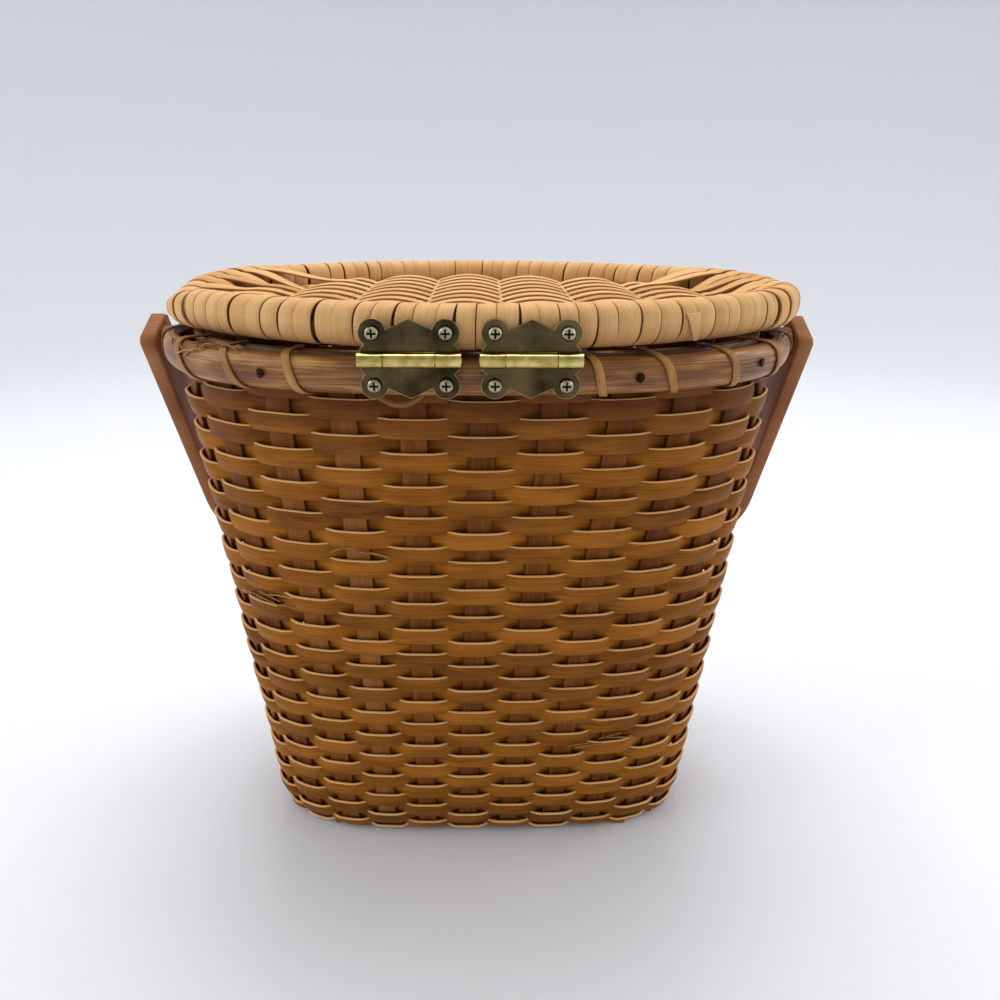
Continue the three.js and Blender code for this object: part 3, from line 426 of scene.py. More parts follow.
def metal_material(name, dark, light, roughness, patch_mm=6.0, recess=None, edge_mm=0.0, edge_highlight=None):
    """Plated metal dulled in patches, with painted shade in a screw recess, soft edges and a painted highlight
    on them where given.
    """
    material, tree, shader = new_material(name)
    place = add_node(tree, "TexCoord").outputs["Object"]
    patches = grain(tree, place, (patch_mm,) * 3, 3.0)
    stops = [(0.25, dark), (0.75, light)]
    face = add_node(tree, "ValToRGB", {"Fac": patches}, stops=stops).outputs["Color"]
    rough = add_node(tree, "MapRange", {"Value": patches, "From Min": 0.2, "From Max": 0.8,
                                        "To Min": roughness + METAL_ROUGHNESS[0],
                                        "To Max": roughness + METAL_ROUGHNESS[1]}).outputs[0]
    # Painted shade in a screw's recess, growing with depth behind its front
    if recess:
        depth = add_node(tree, "SeparateXYZ", {0: place}).outputs["Y"]
        begins, full = [(SCREW_FRONT_Y + behind) * MM for behind in SCREW_RECESS]
        recess_shade = add_node(tree, "MapRange", {"Value": depth, "From Min": begins,
                                            "From Max": full}).outputs[0]
        face = add_node(tree, "Mix", {0: recess_shade, 6: face, 7: colour(recess)}, data_type="RGBA").outputs[2]
    if edge_mm:
        soft = add_node(tree, "Bevel", {"Radius": edge_mm * MM}, samples=8).outputs[0]
        tree.links.new(soft, shader.inputs["Normal"])
        # Painted highlight where the soft normal leans away from the flat face
        if edge_highlight:
            flat = add_node(tree, "NewGeometry").outputs["True Normal"]
            level = add_node(tree, "VectorMath", {0: soft, 1: flat},
                             operation="DOT_PRODUCT").outputs["Value"]
            edge_highlight_share = add_node(tree, "MapRange", {"Value": level, "From Min": EDGE_HIGHLIGHT_LEVELS[0],
                                               "From Max": EDGE_HIGHLIGHT_LEVELS[1]}).outputs[0]
            face = add_node(tree, "Mix", {0: edge_highlight_share, 6: face, 7: colour(edge_highlight)},
                            data_type="RGBA").outputs[2]
    tree.links.new(face, shader.inputs["Base Color"])
    tree.links.new(rough, shader.inputs["Roughness"])
    shader.inputs["Metallic"].default_value = 1.0
    return material


# Rattan core gone amber with age: satin and streaked, with a painted highlight on its pale upper edge and
# painted shade darkening it near the rim
WALL_REED = reed_material("amber flat reed", "#5e3005", "#8b520a", "#b26d1e", "#f6c184",
                          stain_and_shade=RIM_PAINTED_SHADE, edge_above=True)
# The same core in the stakes: redder and duller, with painted shade along their edges where they meet the weave,
# and painted shade near the rim
STAKE_REED = reed_material("amber stake reed", "#562c0a", "#7e4716", "#98612c", "#4a2409", roughness=0.6,
                           stain_and_shade=RIM_PAINTED_SHADE)
# Ribs of the lid: dry reed, pale and matt
PALE_REED = reed_material("pale flat reed", "#a87439", "#c68f53", "#d8a86c", "#e2b67e", roughness=0.55)
# The lid's weave: pale straw with a soft sheen, and painted shade along its edges that parts one reed from the
# next
LID_REED = reed_material("pale lid reed", "#b4834a", "#d3a065", "#e0b680", "#a07045", edge_share=0.02)
# The strips round the lid's edge: smooth and pale on top, browner lower down with stain and painted shade, and
# painted shade along their edges
RIM_REED = reed_material("pale rim strip", "#c6955a", "#d6a56c", "#e2b884", "#92653c", edge_share=0.02,
                         fibre_mm=0.35, bump_mm=0.03, stain_and_shade=LOW_STAIN_AND_SHADE)
# Split rattan with its skin left on: glossier, with strong dark and light streaks
HOOP_RATTAN = reed_material("aged rattan hoop", "#2c1507", "#875526", "#dba864", "#875526", roughness=0.36,
                            fibre_mm=0.6, bump_mm=0.22, gloss=0.45)
# Cane peeled from the skin: narrow, a little shiny, dark along both edges
LASHING_CANE = reed_material("lashing cane", "#6d451f", "#a27138", "#c29353", "#6d451f", roughness=0.45,
                             gloss=0.35)
# Steam-bent wood, sanded and oiled: an even reddish brown with long open grain
HANDLE_WOOD = reed_material("bentwood slat", "#6c4020", "#955f3a", "#ad7b50", "#a8784e", roughness=0.5,
                            fibre_mm=0.9)
# The same wood turned on a lathe: matt, with short grain
SPACER_WOOD = turned_wood("turned wood spacer", "#6a4225", "#96643c")
# Brass plate painted nearly black in patches as a painted dark reflection, with sharp reflections and a painted
# highlight on its thin edges
PAINTED_DARK_BRASS = metal_material("brass plate with painted dark reflection", "#18110a", "#716241", 0.22, patch_mm=10.0,
                            edge_mm=LEAF_EDGE, edge_highlight="#cdbb84")
# The barrels' brass: pale gold and smooth, painted brighter than the plate as a painted reflection
BRIGHT_BRASS = metal_material("brass barrel painted bright", "#9c8540", "#e6d488", 0.17, patch_mm=3.0)
# Plated steel gone dull: a warm grey, with painted shade in the cross
SCREW_STEEL = metal_material("dulled steel screw", "#8a8468", "#c0b996", 0.3, patch_mm=1.5, edge_mm=0.15,
                             recess="#1d1a12")
# The same steel with a plain round head
PIVOT_STEEL = metal_material("dulled steel pivot", "#8a8468", "#c0b996", 0.3, patch_mm=1.5, edge_mm=0.15)
# Rusted iron: dark brown, hardly any shine
IRON_NAIL = metal_material("rusted iron nail", "#1c110b", "#382115", 0.6, patch_mm=1.0)


# Curves in plan

class Plan:
    """A superellipse by share of its length from +X towards +Y, with its outward normal."""
    samples = 1040

    def __init__(self, half_length, half_depth, squareness):
        angle = np.linspace(0, 2 * np.pi, 4 * self.samples + 1)
        c, s = np.cos(angle), np.sin(angle)
        grown = np.abs(c / half_length) ** squareness + np.abs(s / half_depth) ** squareness
        reach = grown ** (-1 / squareness)
        x, y = reach * c, reach * s
        along = np.concatenate([[0], np.cumsum(np.hypot(np.diff(x), np.diff(y)))])
        self.length = along[-1]
        even = np.linspace(0, self.length, self.samples + 1)
        self.x, self.y = np.interp(even, along, x), np.interp(even, along, y)

    def at(self, share, offset=0.0):
        place = (share % 1.0) * self.samples
        low = int(place)
        part = place - low
        high = (low + 1) % self.samples
        before, after = (low - 1) % self.samples, (low + 2) % self.samples
        x = self.x[low] * (1 - part) + self.x[high] * part
        y = self.y[low] * (1 - part) + self.y[high] * part
        run_x, run_y = self.x[after] - self.x[before], self.y[after] - self.y[before]
        run = math.hypot(run_x, run_y)
        return x + offset * run_y / run, y - offset * run_x / run


def mix(a, b, share):
    return a + (b - a) * share


def smooth(value, low, high):
    """0 below low and 1 above high, easing between them."""
    share = min(max((value - low) / (high - low), 0.0), 1.0)
    return share * share * (3 - 2 * share)


wall_plans = {}


def wall_plan(z):
    level = round(max(z, 0.0), 1)
    if level not in wall_plans:
        grown = (level / BODY_HEIGHT) ** FLARE_EXPONENT
        wall_plans[level] = Plan(*[mix(low, high, grown) for low, high in zip(BASE_PLAN, MOUTH_PLAN)])
    return wall_plans[level]


def on_wall(share, height, offset):
    """A point on the wall. Below the foot's radius the height runs on round the turned-under foot."""
    turn = max((FOOT_RADIUS - height) / FOOT_RADIUS, 0.0)
    under = max(turn - math.pi / 2, 0.0) * FOOT_RADIUS
    turn = min(turn, math.pi / 2)
    inset = FOOT_RADIUS * (1 - math.cos(turn)) + under
    z = height if turn == 0 else FOOT_RADIUS * (1 - math.sin(turn))
    x, y = wall_plan(max(height, FOOT_RADIUS)).at(share, offset * math.cos(turn) - inset)
    return Vector((x, y, z - offset * math.sin(turn)))


def settle(height):
    """How far the weave is drawn in at a height."""
    return max(FOOT_SETTLE * (1 - smooth(height, *FOOT_SETTLED)), RIM_SETTLE * smooth(height, *RIM_SETTLED))


def stake_share(index, z):
    """Where stake number index stands at a height, the halves being the spaces between stakes."""
    upright = HINGE_SIDE_SHARE + index / STAKES
    slide = STAKE_MIDDLE_X - STAKE_LEAN * (1 - z / BODY_HEIGHT)
    return upright - slide / wall_plan(z).length * math.sin(2 * math.pi * upright)


lid_plan = Plan(*LID_PLAN)


def on_lid(share, z, offset):
    x, y = lid_plan.at(share, offset)
    return Vector((x + LID_SHIFT, y, z))


# Mesh making

def new_bmesh():
    bm = bmesh.new()
    bm.loops.layers.uv.new("UVMap")
    bm.verts.layers.float.new("tone")
    bm.verts.layers.float.new("across")
    return bm


def add_strip(bm, steps, across_steps, length, width, tone, place, whole=False):
    """A grid moved to place(along, across), both 0 to 1, with its map in metres along the fibres."""
    grid = bmesh.ops.create_grid(bm, x_segments=steps, y_segments=across_steps, size=0.5, calc_uvs=True)
    tone_layer = bm.verts.layers.float["tone"]
    across_layer = bm.verts.layers.float["across"]
    uv_layer = bm.loops.layers.uv["UVMap"]
    faces = {face for vert in grid["verts"] for face in vert.link_faces}
    for face in faces:
        for loop in face.loops:
            loop[uv_layer].uv = ((loop.vert.co.x + 0.5) * length * MM, (loop.vert.co.y + 0.5) * width * MM)
    for vert in grid["verts"]:
        along, across = vert.co.x + 0.5, vert.co.y + 0.5
        vert[tone_layer] = tone
        vert[across_layer] = 0.5 if whole else across
        vert.co = place(along, across)


def finish_piece(bm, name, material, body, replaces=(), thickness=0.0, edge=0.0, merge=0.0,
                 edge_segments=1):
    """Turns a bmesh in millimetres into a piece of the object in metres."""
    if merge:
        bmesh.ops.remove_doubles(bm, verts=bm.verts, dist=merge)
        bmesh.ops.recalc_face_normals(bm, faces=bm.faces)
    bmesh.ops.scale(bm, vec=(MM, MM, MM), verts=bm.verts)
    mesh = bpy.data.meshes.new(name)
    bm.to_mesh(mesh)
    bm.free()
    mesh.materials.append(material)
    piece = bpy.data.objects.new(name, mesh)
    bpy.context.collection.objects.link(piece)
    for polygon in mesh.polygons:
        polygon.use_smooth = True
    if thickness:
        wall = piece.modifiers.new("thickness", "SOLIDIFY")
        wall.thickness = thickness * MM
        wall.offset = 0.0
        wall.use_even_offset = True
    if edge:
        bevel = piece.modifiers.new("edges", "BEVEL")
        bevel.width = edge * MM
        bevel.segments = edge_segments
        bevel.limit_method = "ANGLE"
        bevel.angle_limit = math.radians(SHARP_DEGREES)
    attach(piece, body)
    if replaces:
        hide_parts(*replaces)
    return piece


# Basket body

def reed_path(position, row):
    """How far out a reed runs: 1 outside a stake, -1 behind the next. Also its distance from the first."""
    place = (position + row) % 2
    from_outside = min(place, 2 - place)
    return 1 - 2 * smooth(from_outside, *REED_CROSSING), from_outside


def make_wall_weavers():
    dice = random.Random(SEED)
    for name, part in (("upper", ROWS[:UPPER_ROWS]), ("lower", ROWS[UPPER_ROWS:])):
        bm = new_bmesh()
        for row in part:
            top = FIRST_ROW_TOP - ROW_PITCH * row + dice.uniform(-ROW_SLACK, ROW_SLACK)
            width = REED_WIDTH + dice.uniform(-ROW_SLACK, ROW_SLACK)
            start = 2 * dice.randrange(STAKES // 2) + row % 2 + 1      # its ends meet behind a stake
            wave = [dice.uniform(-REED_WAVE, REED_WAVE) for _ in range(STAKES)]
            bulge = [dice.uniform(*REED_BULGES) for _ in range(STAKES)]
            lean = [dice.uniform(*REED_LEANS) for _ in range(STAKES)]
            length = wall_plan(max(top, FOOT_RADIUS)).length

            def place(along, across):
                position = start + along * (STAKES - REED_END_GAP) + REED_END_GAP / 2
                near = int(round(position)) % STAKES
                side, from_outside = reed_path(position, row)
                on_stake = math.cos(math.pi * min(from_outside, 0.5))
                height = top - (1 - across) * width + wave[near] * on_stake - REED_DIP * max(-side, 0.0)
                offset = WEAVE_MIDDLE + REED_SWING * side - settle(height)
                offset += REED_CROWN * bulge[near] * max(1 - (from_outside / CROWN_REACH) ** 2, 0.0)
                offset += lean[near] * (across - 0.5) * max(side, 0.0)
                offset += REED_ARCH * (1 - (2 * across - 1) ** 2)
                if height < FOOT_RADIUS:
                    offset = min(offset, -REED_THICKNESS / 2 - FLOOR_CLEARANCE)
                return on_wall(stake_share(position, max(height, FOOT_RADIUS)), height, offset)

            add_strip(bm, RING_STEPS, 2, length, width, dice.uniform(*REED_TONES), place)
        finish_piece(bm, f"wall_weavers_{name}", WALL_REED, "basket", ["woven_wall"],
                     thickness=REED_THICKNESS, edge=REED_EDGE)


def stake_strip(bm, index, dice):
    """The part of a stake that stands in the wall."""
    tone = dice.random()

    def place(along, across):
        height = mix(-STAKE_TURNED_UNDER, RIM_TOP - STAKE_TOP_GAP, along)
        z = max(height, FOOT_RADIUS)
        width = mix(STAKE_FOOT_WIDTH, STAKE_TOP_WIDTH, z / BODY_HEIGHT)
        share = stake_share(index, z) + (across - 0.5) * width / wall_plan(z).length
        return on_wall(share, height, WEAVE_MIDDLE - settle(height))

    add_strip(bm, STAKE_STEPS, 2, BODY_HEIGHT, STAKE_TOP_WIDTH, tone, place)


def base_strip(bm, index, opposite, dice):
    """The part of a stake that crosses the base."""
    ends = [on_wall(stake_share(i, FOOT_RADIUS), -STAKE_TURNED_UNDER, WEAVE_MIDDLE - FOOT_SETTLE)
            for i in (index, opposite)]
    run = ends[1] - ends[0]
    across_dir = Vector((-run.y, run.x, 0)).normalized()
    level = BASE_LEVEL + (LONG_STAKE_LIFT if abs(run.x) > abs(run.y) else 0.0)

    def place(along, across):
        point = ends[0].lerp(ends[1], along) + across_dir * (0.5 - across) * STAKE_FOOT_WIDTH
        point.z = mix(ends[0].z, level, min(1.0, along / BASE_RAMP_SHARE, (1 - along) / BASE_RAMP_SHARE))
        return point

    add_strip(bm, BASE_STAKE_STEPS, 1, run.length, STAKE_FOOT_WIDTH, dice.random(), place)


def make_stakes():
    dice = random.Random(SEED + 1)
    stakes = [(f"cross_stake_{i + CROSS_STAKES_EACH_WAY + 1}", i, STAKES // 2 - i)
              for i in range(-CROSS_STAKES_EACH_WAY, CROSS_STAKES_EACH_WAY + 1)]
    stakes += [(f"long_stake_{number}", i, -i) for number, i in enumerate(LONG_STAKES, 1)]
    stakes += [(f"corner_stake_{number}", i, None) for number, i in enumerate(CORNER_STAKES, 1)]
    for node, index, opposite in stakes:
        bm = new_bmesh()
        stake_strip(bm, index, dice)
        if opposite is not None:
            stake_strip(bm, opposite, dice)
            base_strip(bm, index, opposite, dice)
        finish_piece(bm, node + "_strip", STAKE_REED, "basket", [node],
                     thickness=STAKE_THICKNESS, edge=STAKE_EDGE)


def make_base_weavers():
    dice = random.Random(SEED + 2)
    bm = new_bmesh()
    stake_pitch = wall_plan(FOOT_RADIUS).length / STAKES
    half, depth = [size - inset for size, inset in zip(BASE_PLAN, BASE_INSETS)]
    squareness = BASE_PLAN[2]
    for row in range(-BASE_ROWS_EACH_WAY, BASE_ROWS_EACH_WAY + 1):
        y = row * BASE_ROW_PITCH
        reach = half * (1 - min(abs(y) / depth, BASE_WIDEST_SHARE) ** squareness) ** (1 / squareness)

        def place(along, across):
            x = mix(-reach, reach, along)
            z = BASE_LEVEL + BASE_SWING * math.cos(math.pi * ((x - BASE_MIDDLE_X) / stake_pitch + row))
            return Vector((x, y + (across - 0.5) * BASE_REED_WIDTH, z))

        add_strip(bm, BASE_STEPS, 1, 2 * reach, BASE_REED_WIDTH, dice.random(), place)
    finish_piece(bm, "base_weavers", WALL_REED, "basket", ["woven_base"],
                 thickness=BASE_REED_THICKNESS, edge=BASE_REED_EDGE)


def hoop_section(turn):
    """A point of the half-round outer hoop's section, turn 0 to 1 from its lower back edge up its face."""
    back, face, squareness = OUTER_HOOP
    angle = mix(-math.pi / 2, math.pi / 2, turn)
    share = 2 / squareness
    return (back + (face - back) * max(math.cos(angle), 0.0) ** share,
            RIM_MIDDLE + RIM_HEIGHT / 2 * math.copysign(abs(math.sin(angle)) ** share, angle))


def make_hoops():
    bm = new_bmesh()
    back = OUTER_HOOP[0]

    def outer(along, around):
        past_face = (around - HOOP_FACE_SHARE) / (1 - HOOP_FACE_SHARE)
        offset, z = (hoop_section(around / HOOP_FACE_SHARE) if past_face <= 0
                     else (back, mix(RIM_TOP, RIM_BOTTOM, past_face)))
        swell = 1 + sum(rise * math.sin(along * 2 * math.pi * count) for rise, count in HOOP_SWELLS)
        return on_wall(along, z, back + (offset - back) * swell)

    add_strip(bm, RING_STEPS, HOOP_SECTION_STEPS, OUTER_HOOP_LENGTH, OUTER_HOOP_GIRTH, HOOP_TONES[0], outer,
              whole=True)
    finish_piece(bm, "outer_hoop", HOOP_RATTAN, "basket", ["outer_rim_hoop"], merge=MERGE)

    bm = new_bmesh()

    def inner(along, across):
        return on_wall(along, mix(RIM_BOTTOM, RIM_TOP, across), (INNER_HOOP[0] + INNER_HOOP[1]) / 2)

    add_strip(bm, RING_STEPS, 2, INNER_HOOP_LENGTH, RIM_HEIGHT, HOOP_TONES[1], inner, whole=True)
    finish_piece(bm, "inner_hoop", HOOP_RATTAN, "basket", ["inner_rim_hoop"],
                 thickness=INNER_HOOP[0] - INNER_HOOP[1], edge=INNER_HOOP_EDGE, merge=MERGE)


def follow(stations, along):
    """The point at a share of the way along a list of stations."""
    spot = along * (len(stations) - 1)
    low = min(int(spot), len(stations) - 2)
    return [mix(a, b, spot - low) for a, b in zip(stations[low], stations[low + 1])]


def make_lashing(dice):
    hold = CANE_CLEARANCE + CANE_THICKNESS / 2
    inside = INNER_HOOP[1] - hold
    stations = []
    for space in LASHED_SPACES:
        slant = CANE_SLANT + dice.uniform(*CANE_SLANT_SPREAD)
        middle = space + 0.5 + dice.uniform(-CANE_DRIFT, CANE_DRIFT)
        low, high = middle - slant / 2, middle + slant / 2
        stations.append((low, inside, RIM_TOP - CANE_TAIL))
        stations.append((low, inside, RIM_TOP + hold))
        for i in range(CANE_LOOP_STEPS + 1):
            part = i / CANE_LOOP_STEPS
            offset, z = hoop_section(1 - part)
            angle = mix(math.pi / 2, -math.pi / 2, part)
            stations.append((mix(low, high, part), offset + hold * math.cos(angle),
                             z + hold * math.sin(angle)))
        stations.append((high, inside, RIM_BOTTOM - hold))
        stations.append((high, inside, RIM_BOTTOM + CANE_TAIL))
    rim_length = wall_plan(RIM_MIDDLE).length

    def place(along, across):
        position, offset, z = follow(stations, along)
        share = stake_share(position, min(z, RIM_TOP)) + (across - 0.5) * CANE_WIDTH / rim_length
        return on_wall(share, z, offset)

    bm = new_bmesh()
    add_strip(bm, len(stations) - 1, 2, CANE_LOOP_LENGTH * len(LASHED_SPACES), CANE_WIDTH, CANE_TONE, place)
    finish_piece(bm, "rim_cane", LASHING_CANE, "basket", ["rim_lashing"],
                 thickness=CANE_THICKNESS, edge=CANE_EDGE)


def add_frays(bm, dice):
    """Frayed ends on top of the outer hoop."""
    rim_length = wall_plan(RIM_MIDDLE).length
    for middle, strands in FRAYS:
        for _ in range(strands):
            begin = middle + dice.uniform(-FRAY_SPREAD, FRAY_SPREAD) / rim_length
            reach = dice.uniform(-FRAY_LENGTH, FRAY_LENGTH)
            out, up = dice.uniform(*FRAY_OUTS), dice.uniform(*FRAY_UPS)
            fall, rise = dice.uniform(*FRAY_FALLS), dice.uniform(*FRAY_RISES)

            def strand(along, across):
                arch = math.sin(math.pi * min(along, FRAY_ARCH_SHARE))
                highest = RIM_TOP + min(up + rise * arch, FRAY_HIGHEST)
                z = highest - HOOP_ROUNDING * out ** 2 - fall * along ** 2
                return on_wall(begin + reach * along / rim_length, z + FRAY_WIDTH * (across - 0.5),
                               out + fall * along * FRAY_OUT_SHARE)

            add_strip(bm, STRAND_STEPS, 1, FRAY_LENGTH, FRAY_WIDTH, dice.random(), strand)


def add_splinters(bm, dice):
    """Splinters that have lifted off the reeds of the wall."""
    for middle, level, strands in SPLINTERS:
        length = wall_plan(level).length
        for _ in range(strands):
            begin = middle + dice.uniform(-SPLINTER_SPREAD, SPLINTER_SPREAD) / length
            reach = dice.choice((-1, 1)) * dice.uniform(*SPLINTER_REACHES)
            z = level + dice.uniform(-SPLINTER_HEIGHTS, SPLINTER_HEIGHTS)
            slope, out = dice.uniform(-SPLINTER_SLOPE, SPLINTER_SLOPE), dice.uniform(*SPLINTER_OUTS)

            def splinter(along, across):
                bend = SPLINTER_BEND * math.sin(math.pi * along)
                height = z + slope * reach * along + SPLINTER_WIDTH * (across - 0.5) + bend
                return on_wall(begin + reach * along / length, height, out + bend * SPLINTER_OUT_SHARE)

            add_strip(bm, STRAND_STEPS, 1, SPLINTER_LENGTH, SPLINTER_WIDTH, dice.random(), splinter)


def make_loose_cane(dice):
    """What has come loose: a slack loop below the left hinge, frayed ends and splinters."""
    rim_length = wall_plan(RIM_MIDDLE).length
    bm = new_bmesh()

    def slack(along, across):
        drop = math.sin(math.pi * along)
        z = RIM_BOTTOM + SLACK_TOP - SLACK_DROP * drop ** SLACK_ROUNDNESS + (across - 0.5) * SLACK_WIDTH
        share = HINGE_SIDE_SHARE + mix(*SLACK_ENDS, along) / rim_length
        return on_wall(share, z, SLACK_OUT + SLACK_SWELL * drop - (across - 0.5))

    add_strip(bm, SLACK_STEPS, 2, SLACK_LENGTH, SLACK_WIDTH, SLACK_TONE, slack)
    add_frays(bm, dice)
    add_splinters(bm, dice)
    finish_piece(bm, "loose_cane", LASHING_CANE, "basket", (), thickness=LOOSE_THICKNESS)


# Lid

def lid_rim_section(share, turn, grow=0.0):
    """A point of the lid rim's section, turn 0 to 1 from straight down, by the outside and over the top."""
    angle = 2 * math.pi * turn - math.pi / 2
    power = 2 / LID_RIM_SQUARENESS
    c, s = math.cos(angle), math.sin(angle)
    offset = -LID_RIM_WIDTH / 2 + (LID_RIM_WIDTH / 2 + grow) * math.copysign(abs(c) ** power, c)
    up = LID_HEIGHT / 2 + (LID_HEIGHT / 2 + grow) * math.copysign(abs(s) ** power, s)
    droop = 0.0
    for lower, inset, middle, width in LID_ENDS:
        near = math.exp(-(((share - middle + 0.5) % 1.0 - 0.5) / width) ** 2)
        droop += lower * near
        offset -= inset * near
    return offset, LID_BOTTOM + up * (1 - droop / LID_HEIGHT)


def make_lid_core():
    bm = new_bmesh()

    def core(along, around):
        offset, z = lid_rim_section(along, around, -LID_CORE_INSET)
        return on_lid(along, z, offset)

    add_strip(bm, *LID_CORE_STEPS, LID_CORE_LENGTH, LID_CORE_GIRTH, LID_CORE_TONE, core, whole=True)
    finish_piece(bm, "lid_core", HOOP_RATTAN, "lid", ["lid_core_hoop"], merge=MERGE)


def make_lid_rim_strips():
    dice = random.Random(SEED + 5)
    widths = []
    while sum(widths) < lid_plan.length:
        widths.append(dice.uniform(*STRIP_WIDTHS))
    fit = lid_plan.length / sum(widths)
    bm = new_bmesh()
    begin = 0.0
    for width in widths:
        width *= fit
        cover = width - dice.uniform(*(NARROW_GAPS if dice.random() > WIDE_GAP_SHARE else WIDE_GAPS))
        slant = dice.uniform(*STRIP_SLANTS)
        bow = dice.uniform(*STRIP_BOWS)
        lift = dice.uniform(*STRIP_LIFTS)

        def place(along, across):
            # each strip starts and ends under the rim and bows towards the lid's nearer end
            side = -math.sin(4 * math.pi * begin / lid_plan.length)
            bowed = bow * side * math.sin(2 * math.pi * along)
            share = (begin + across * cover + slant * (along - 0.5) + bowed) / lid_plan.length
            from_axis = abs(lid_plan.at(share)[1])
            sunk = STRIP_SINK * (1 - smooth(from_axis, OVER_RIM_HALF_WIDTH - SINK_EASE,
                                            OVER_RIM_HALF_WIDTH + SINK_EASE))
            offset, z = lid_rim_section(share, along, lift - STRIP_SET_IN + STRIP_LEAN * across - sunk)
            return on_lid(share, z, offset)

        add_strip(bm, STRIP_STEPS, 3, STRIP_LENGTH, width, dice.uniform(*STRIP_TONES), place)
        begin += width

    def torn_end(along, across):
        half = TEAR_HALF_WIDTH * (1 - TEAR_NARROWING * along)
        share = TEAR_SHARE + (2 * half * (across - 0.5) + TEAR_DRIFT * along) / lid_plan.length
        lift = TEAR_LIFTS[0] + TEAR_LIFTS[1] * along ** TEAR_CURL
        offset, z = lid_rim_section(share, mix(*TEAR_TURNS, along), lift)
        return on_lid(share, z, offset)

    add_strip(bm, TEAR_STEPS, 3, *TEAR_SIZE, TEAR_TONE, torn_end)
    finish_piece(bm, "lid_rim_strips", RIM_REED, "lid", ["lid_rim_wrap"],
                 thickness=STRIP_THICKNESS, edge=STRIP_EDGE)


def lid_reach_x(y, inset):
    a, b, n = LID_PLAN
    return (a - inset) * max(1 - (min(abs(y), b - inset) / (b - inset)) ** n, 0.0) ** (1 / n)


def lid_reach_y(x, inset):
    a, b, n = LID_PLAN
    return (b - inset) * max(1 - (min(abs(x - LID_SHIFT), a - inset) / (a - inset)) ** n, 0.0) ** (1 / n)


def lid_weave_height(x, row):
    rib = (x - LID_RIB_MIDDLE_X) / LID_RIB_PITCH
    swing = math.cos(math.pi * (rib + row))
    return LID_WEAVE_LEVEL + LID_SWING * math.copysign(abs(swing) ** LID_SWING_POWER, swing)


def make_lid_weave(dice):
    bm = new_bmesh()
    for row in range(-LID_ROWS_EACH_WAY, LID_ROWS_EACH_WAY + 1):
        y = row * ROW_PITCH + dice.uniform(-LID_REED_SLACK, LID_REED_SLACK)
        width = LID_REED_WIDTH + dice.uniform(-LID_REED_SLACK, LID_REED_SLACK)
        grow = dice.uniform(*LID_REED_GROWS)
        is_over = abs(y) < OVER_RIM_HALF_WIDTH
        half = (lid_reach_x(y, LID_RIM_WIDTH + OVER_RIM_RUN) if is_over
                else lid_reach_x(abs(y) + LID_ROW_EDGE, LID_RIM_WIDTH - LID_TUCK))
        if half < LID_SHORTEST_HALF:
            continue
        end_steps = OVER_RIM_STEPS if is_over else 0
        steps = LID_MIDDLE_STEPS + 2 * end_steps

        def place(along, across):
            step = along * steps
            edge_y = y + (across - 0.5) * width
            tilt = LID_REED_TILT * (across - 0.5)
            inner = min(max((step - end_steps) / LID_MIDDLE_STEPS, 0.0), 1.0)
            x = mix(-half, half, inner) + LID_SHIFT
            z = lid_weave_height(x, row)
            if not is_over:
                fade = min(1.0, (LID_SHIFT + half - x) / LID_FADE, (x + half - LID_SHIFT) / LID_FADE)
                return Vector((x, edge_y, mix(LID_WEAVE_LEVEL - LID_TUCKED_DROP, z, max(fade, 0.0)) + tilt))
            past = max(end_steps - step, step - end_steps - LID_MIDDLE_STEPS, 0.0) / end_steps
            if past == 0:
                return Vector((x, edge_y, z + tilt))
            side = -1 if step < end_steps else 1
            share = (0.5 - edge_y / lid_plan.length) if side < 0 else edge_y / lid_plan.length
            turn = mix(*OVER_RIM_TURNS, max(past - CLIMB_SHARE, 0.0) / (1 - CLIMB_SHARE))
            offset, rim_z = lid_rim_section(share, turn, grow)
            rim_x = side * lid_reach_x(edge_y, -offset) + LID_SHIFT
            if past < CLIMB_SHARE:
                climb = past / CLIMB_SHARE
                return Vector((mix(x, rim_x, climb), edge_y, mix(z, rim_z, smooth(climb, 0, 1))))
            return Vector((rim_x, edge_y, rim_z))

        add_strip(bm, steps, 2, 2 * half, width, dice.random(), place)
    finish_piece(bm, "lid_weavers", LID_REED, "lid", ["lid_panel"],
                 thickness=LID_REED_THICKNESS, edge=LID_REED_EDGE)


def make_lid_ribs(dice):
    for number in range(1, LID_RIBS + 1):
        x = LID_RIB_MIDDLE_X + (number - (LID_RIBS + 1) / 2) * LID_RIB_PITCH
        reach = lid_reach_y(x, LID_RIM_WIDTH - LID_TUCK) - LID_RIB_GAP
        bm = new_bmesh()

        def rib(along, across):
            return Vector((x + (across - 0.5) * LID_RIB_WIDTH, mix(-reach, reach, along),
                           LID_WEAVE_LEVEL - LID_RIB_DROP))

        add_strip(bm, LID_RIB_STEPS, 2, 2 * reach, LID_RIB_WIDTH, dice.random(), rib)
        finish_piece(bm, f"lid_rib_{number}_strip", PALE_REED, "lid", [f"lid_rib_{number}"],
                     thickness=LID_RIB_THICKNESS, edge=LID_RIB_EDGE)


# Handle

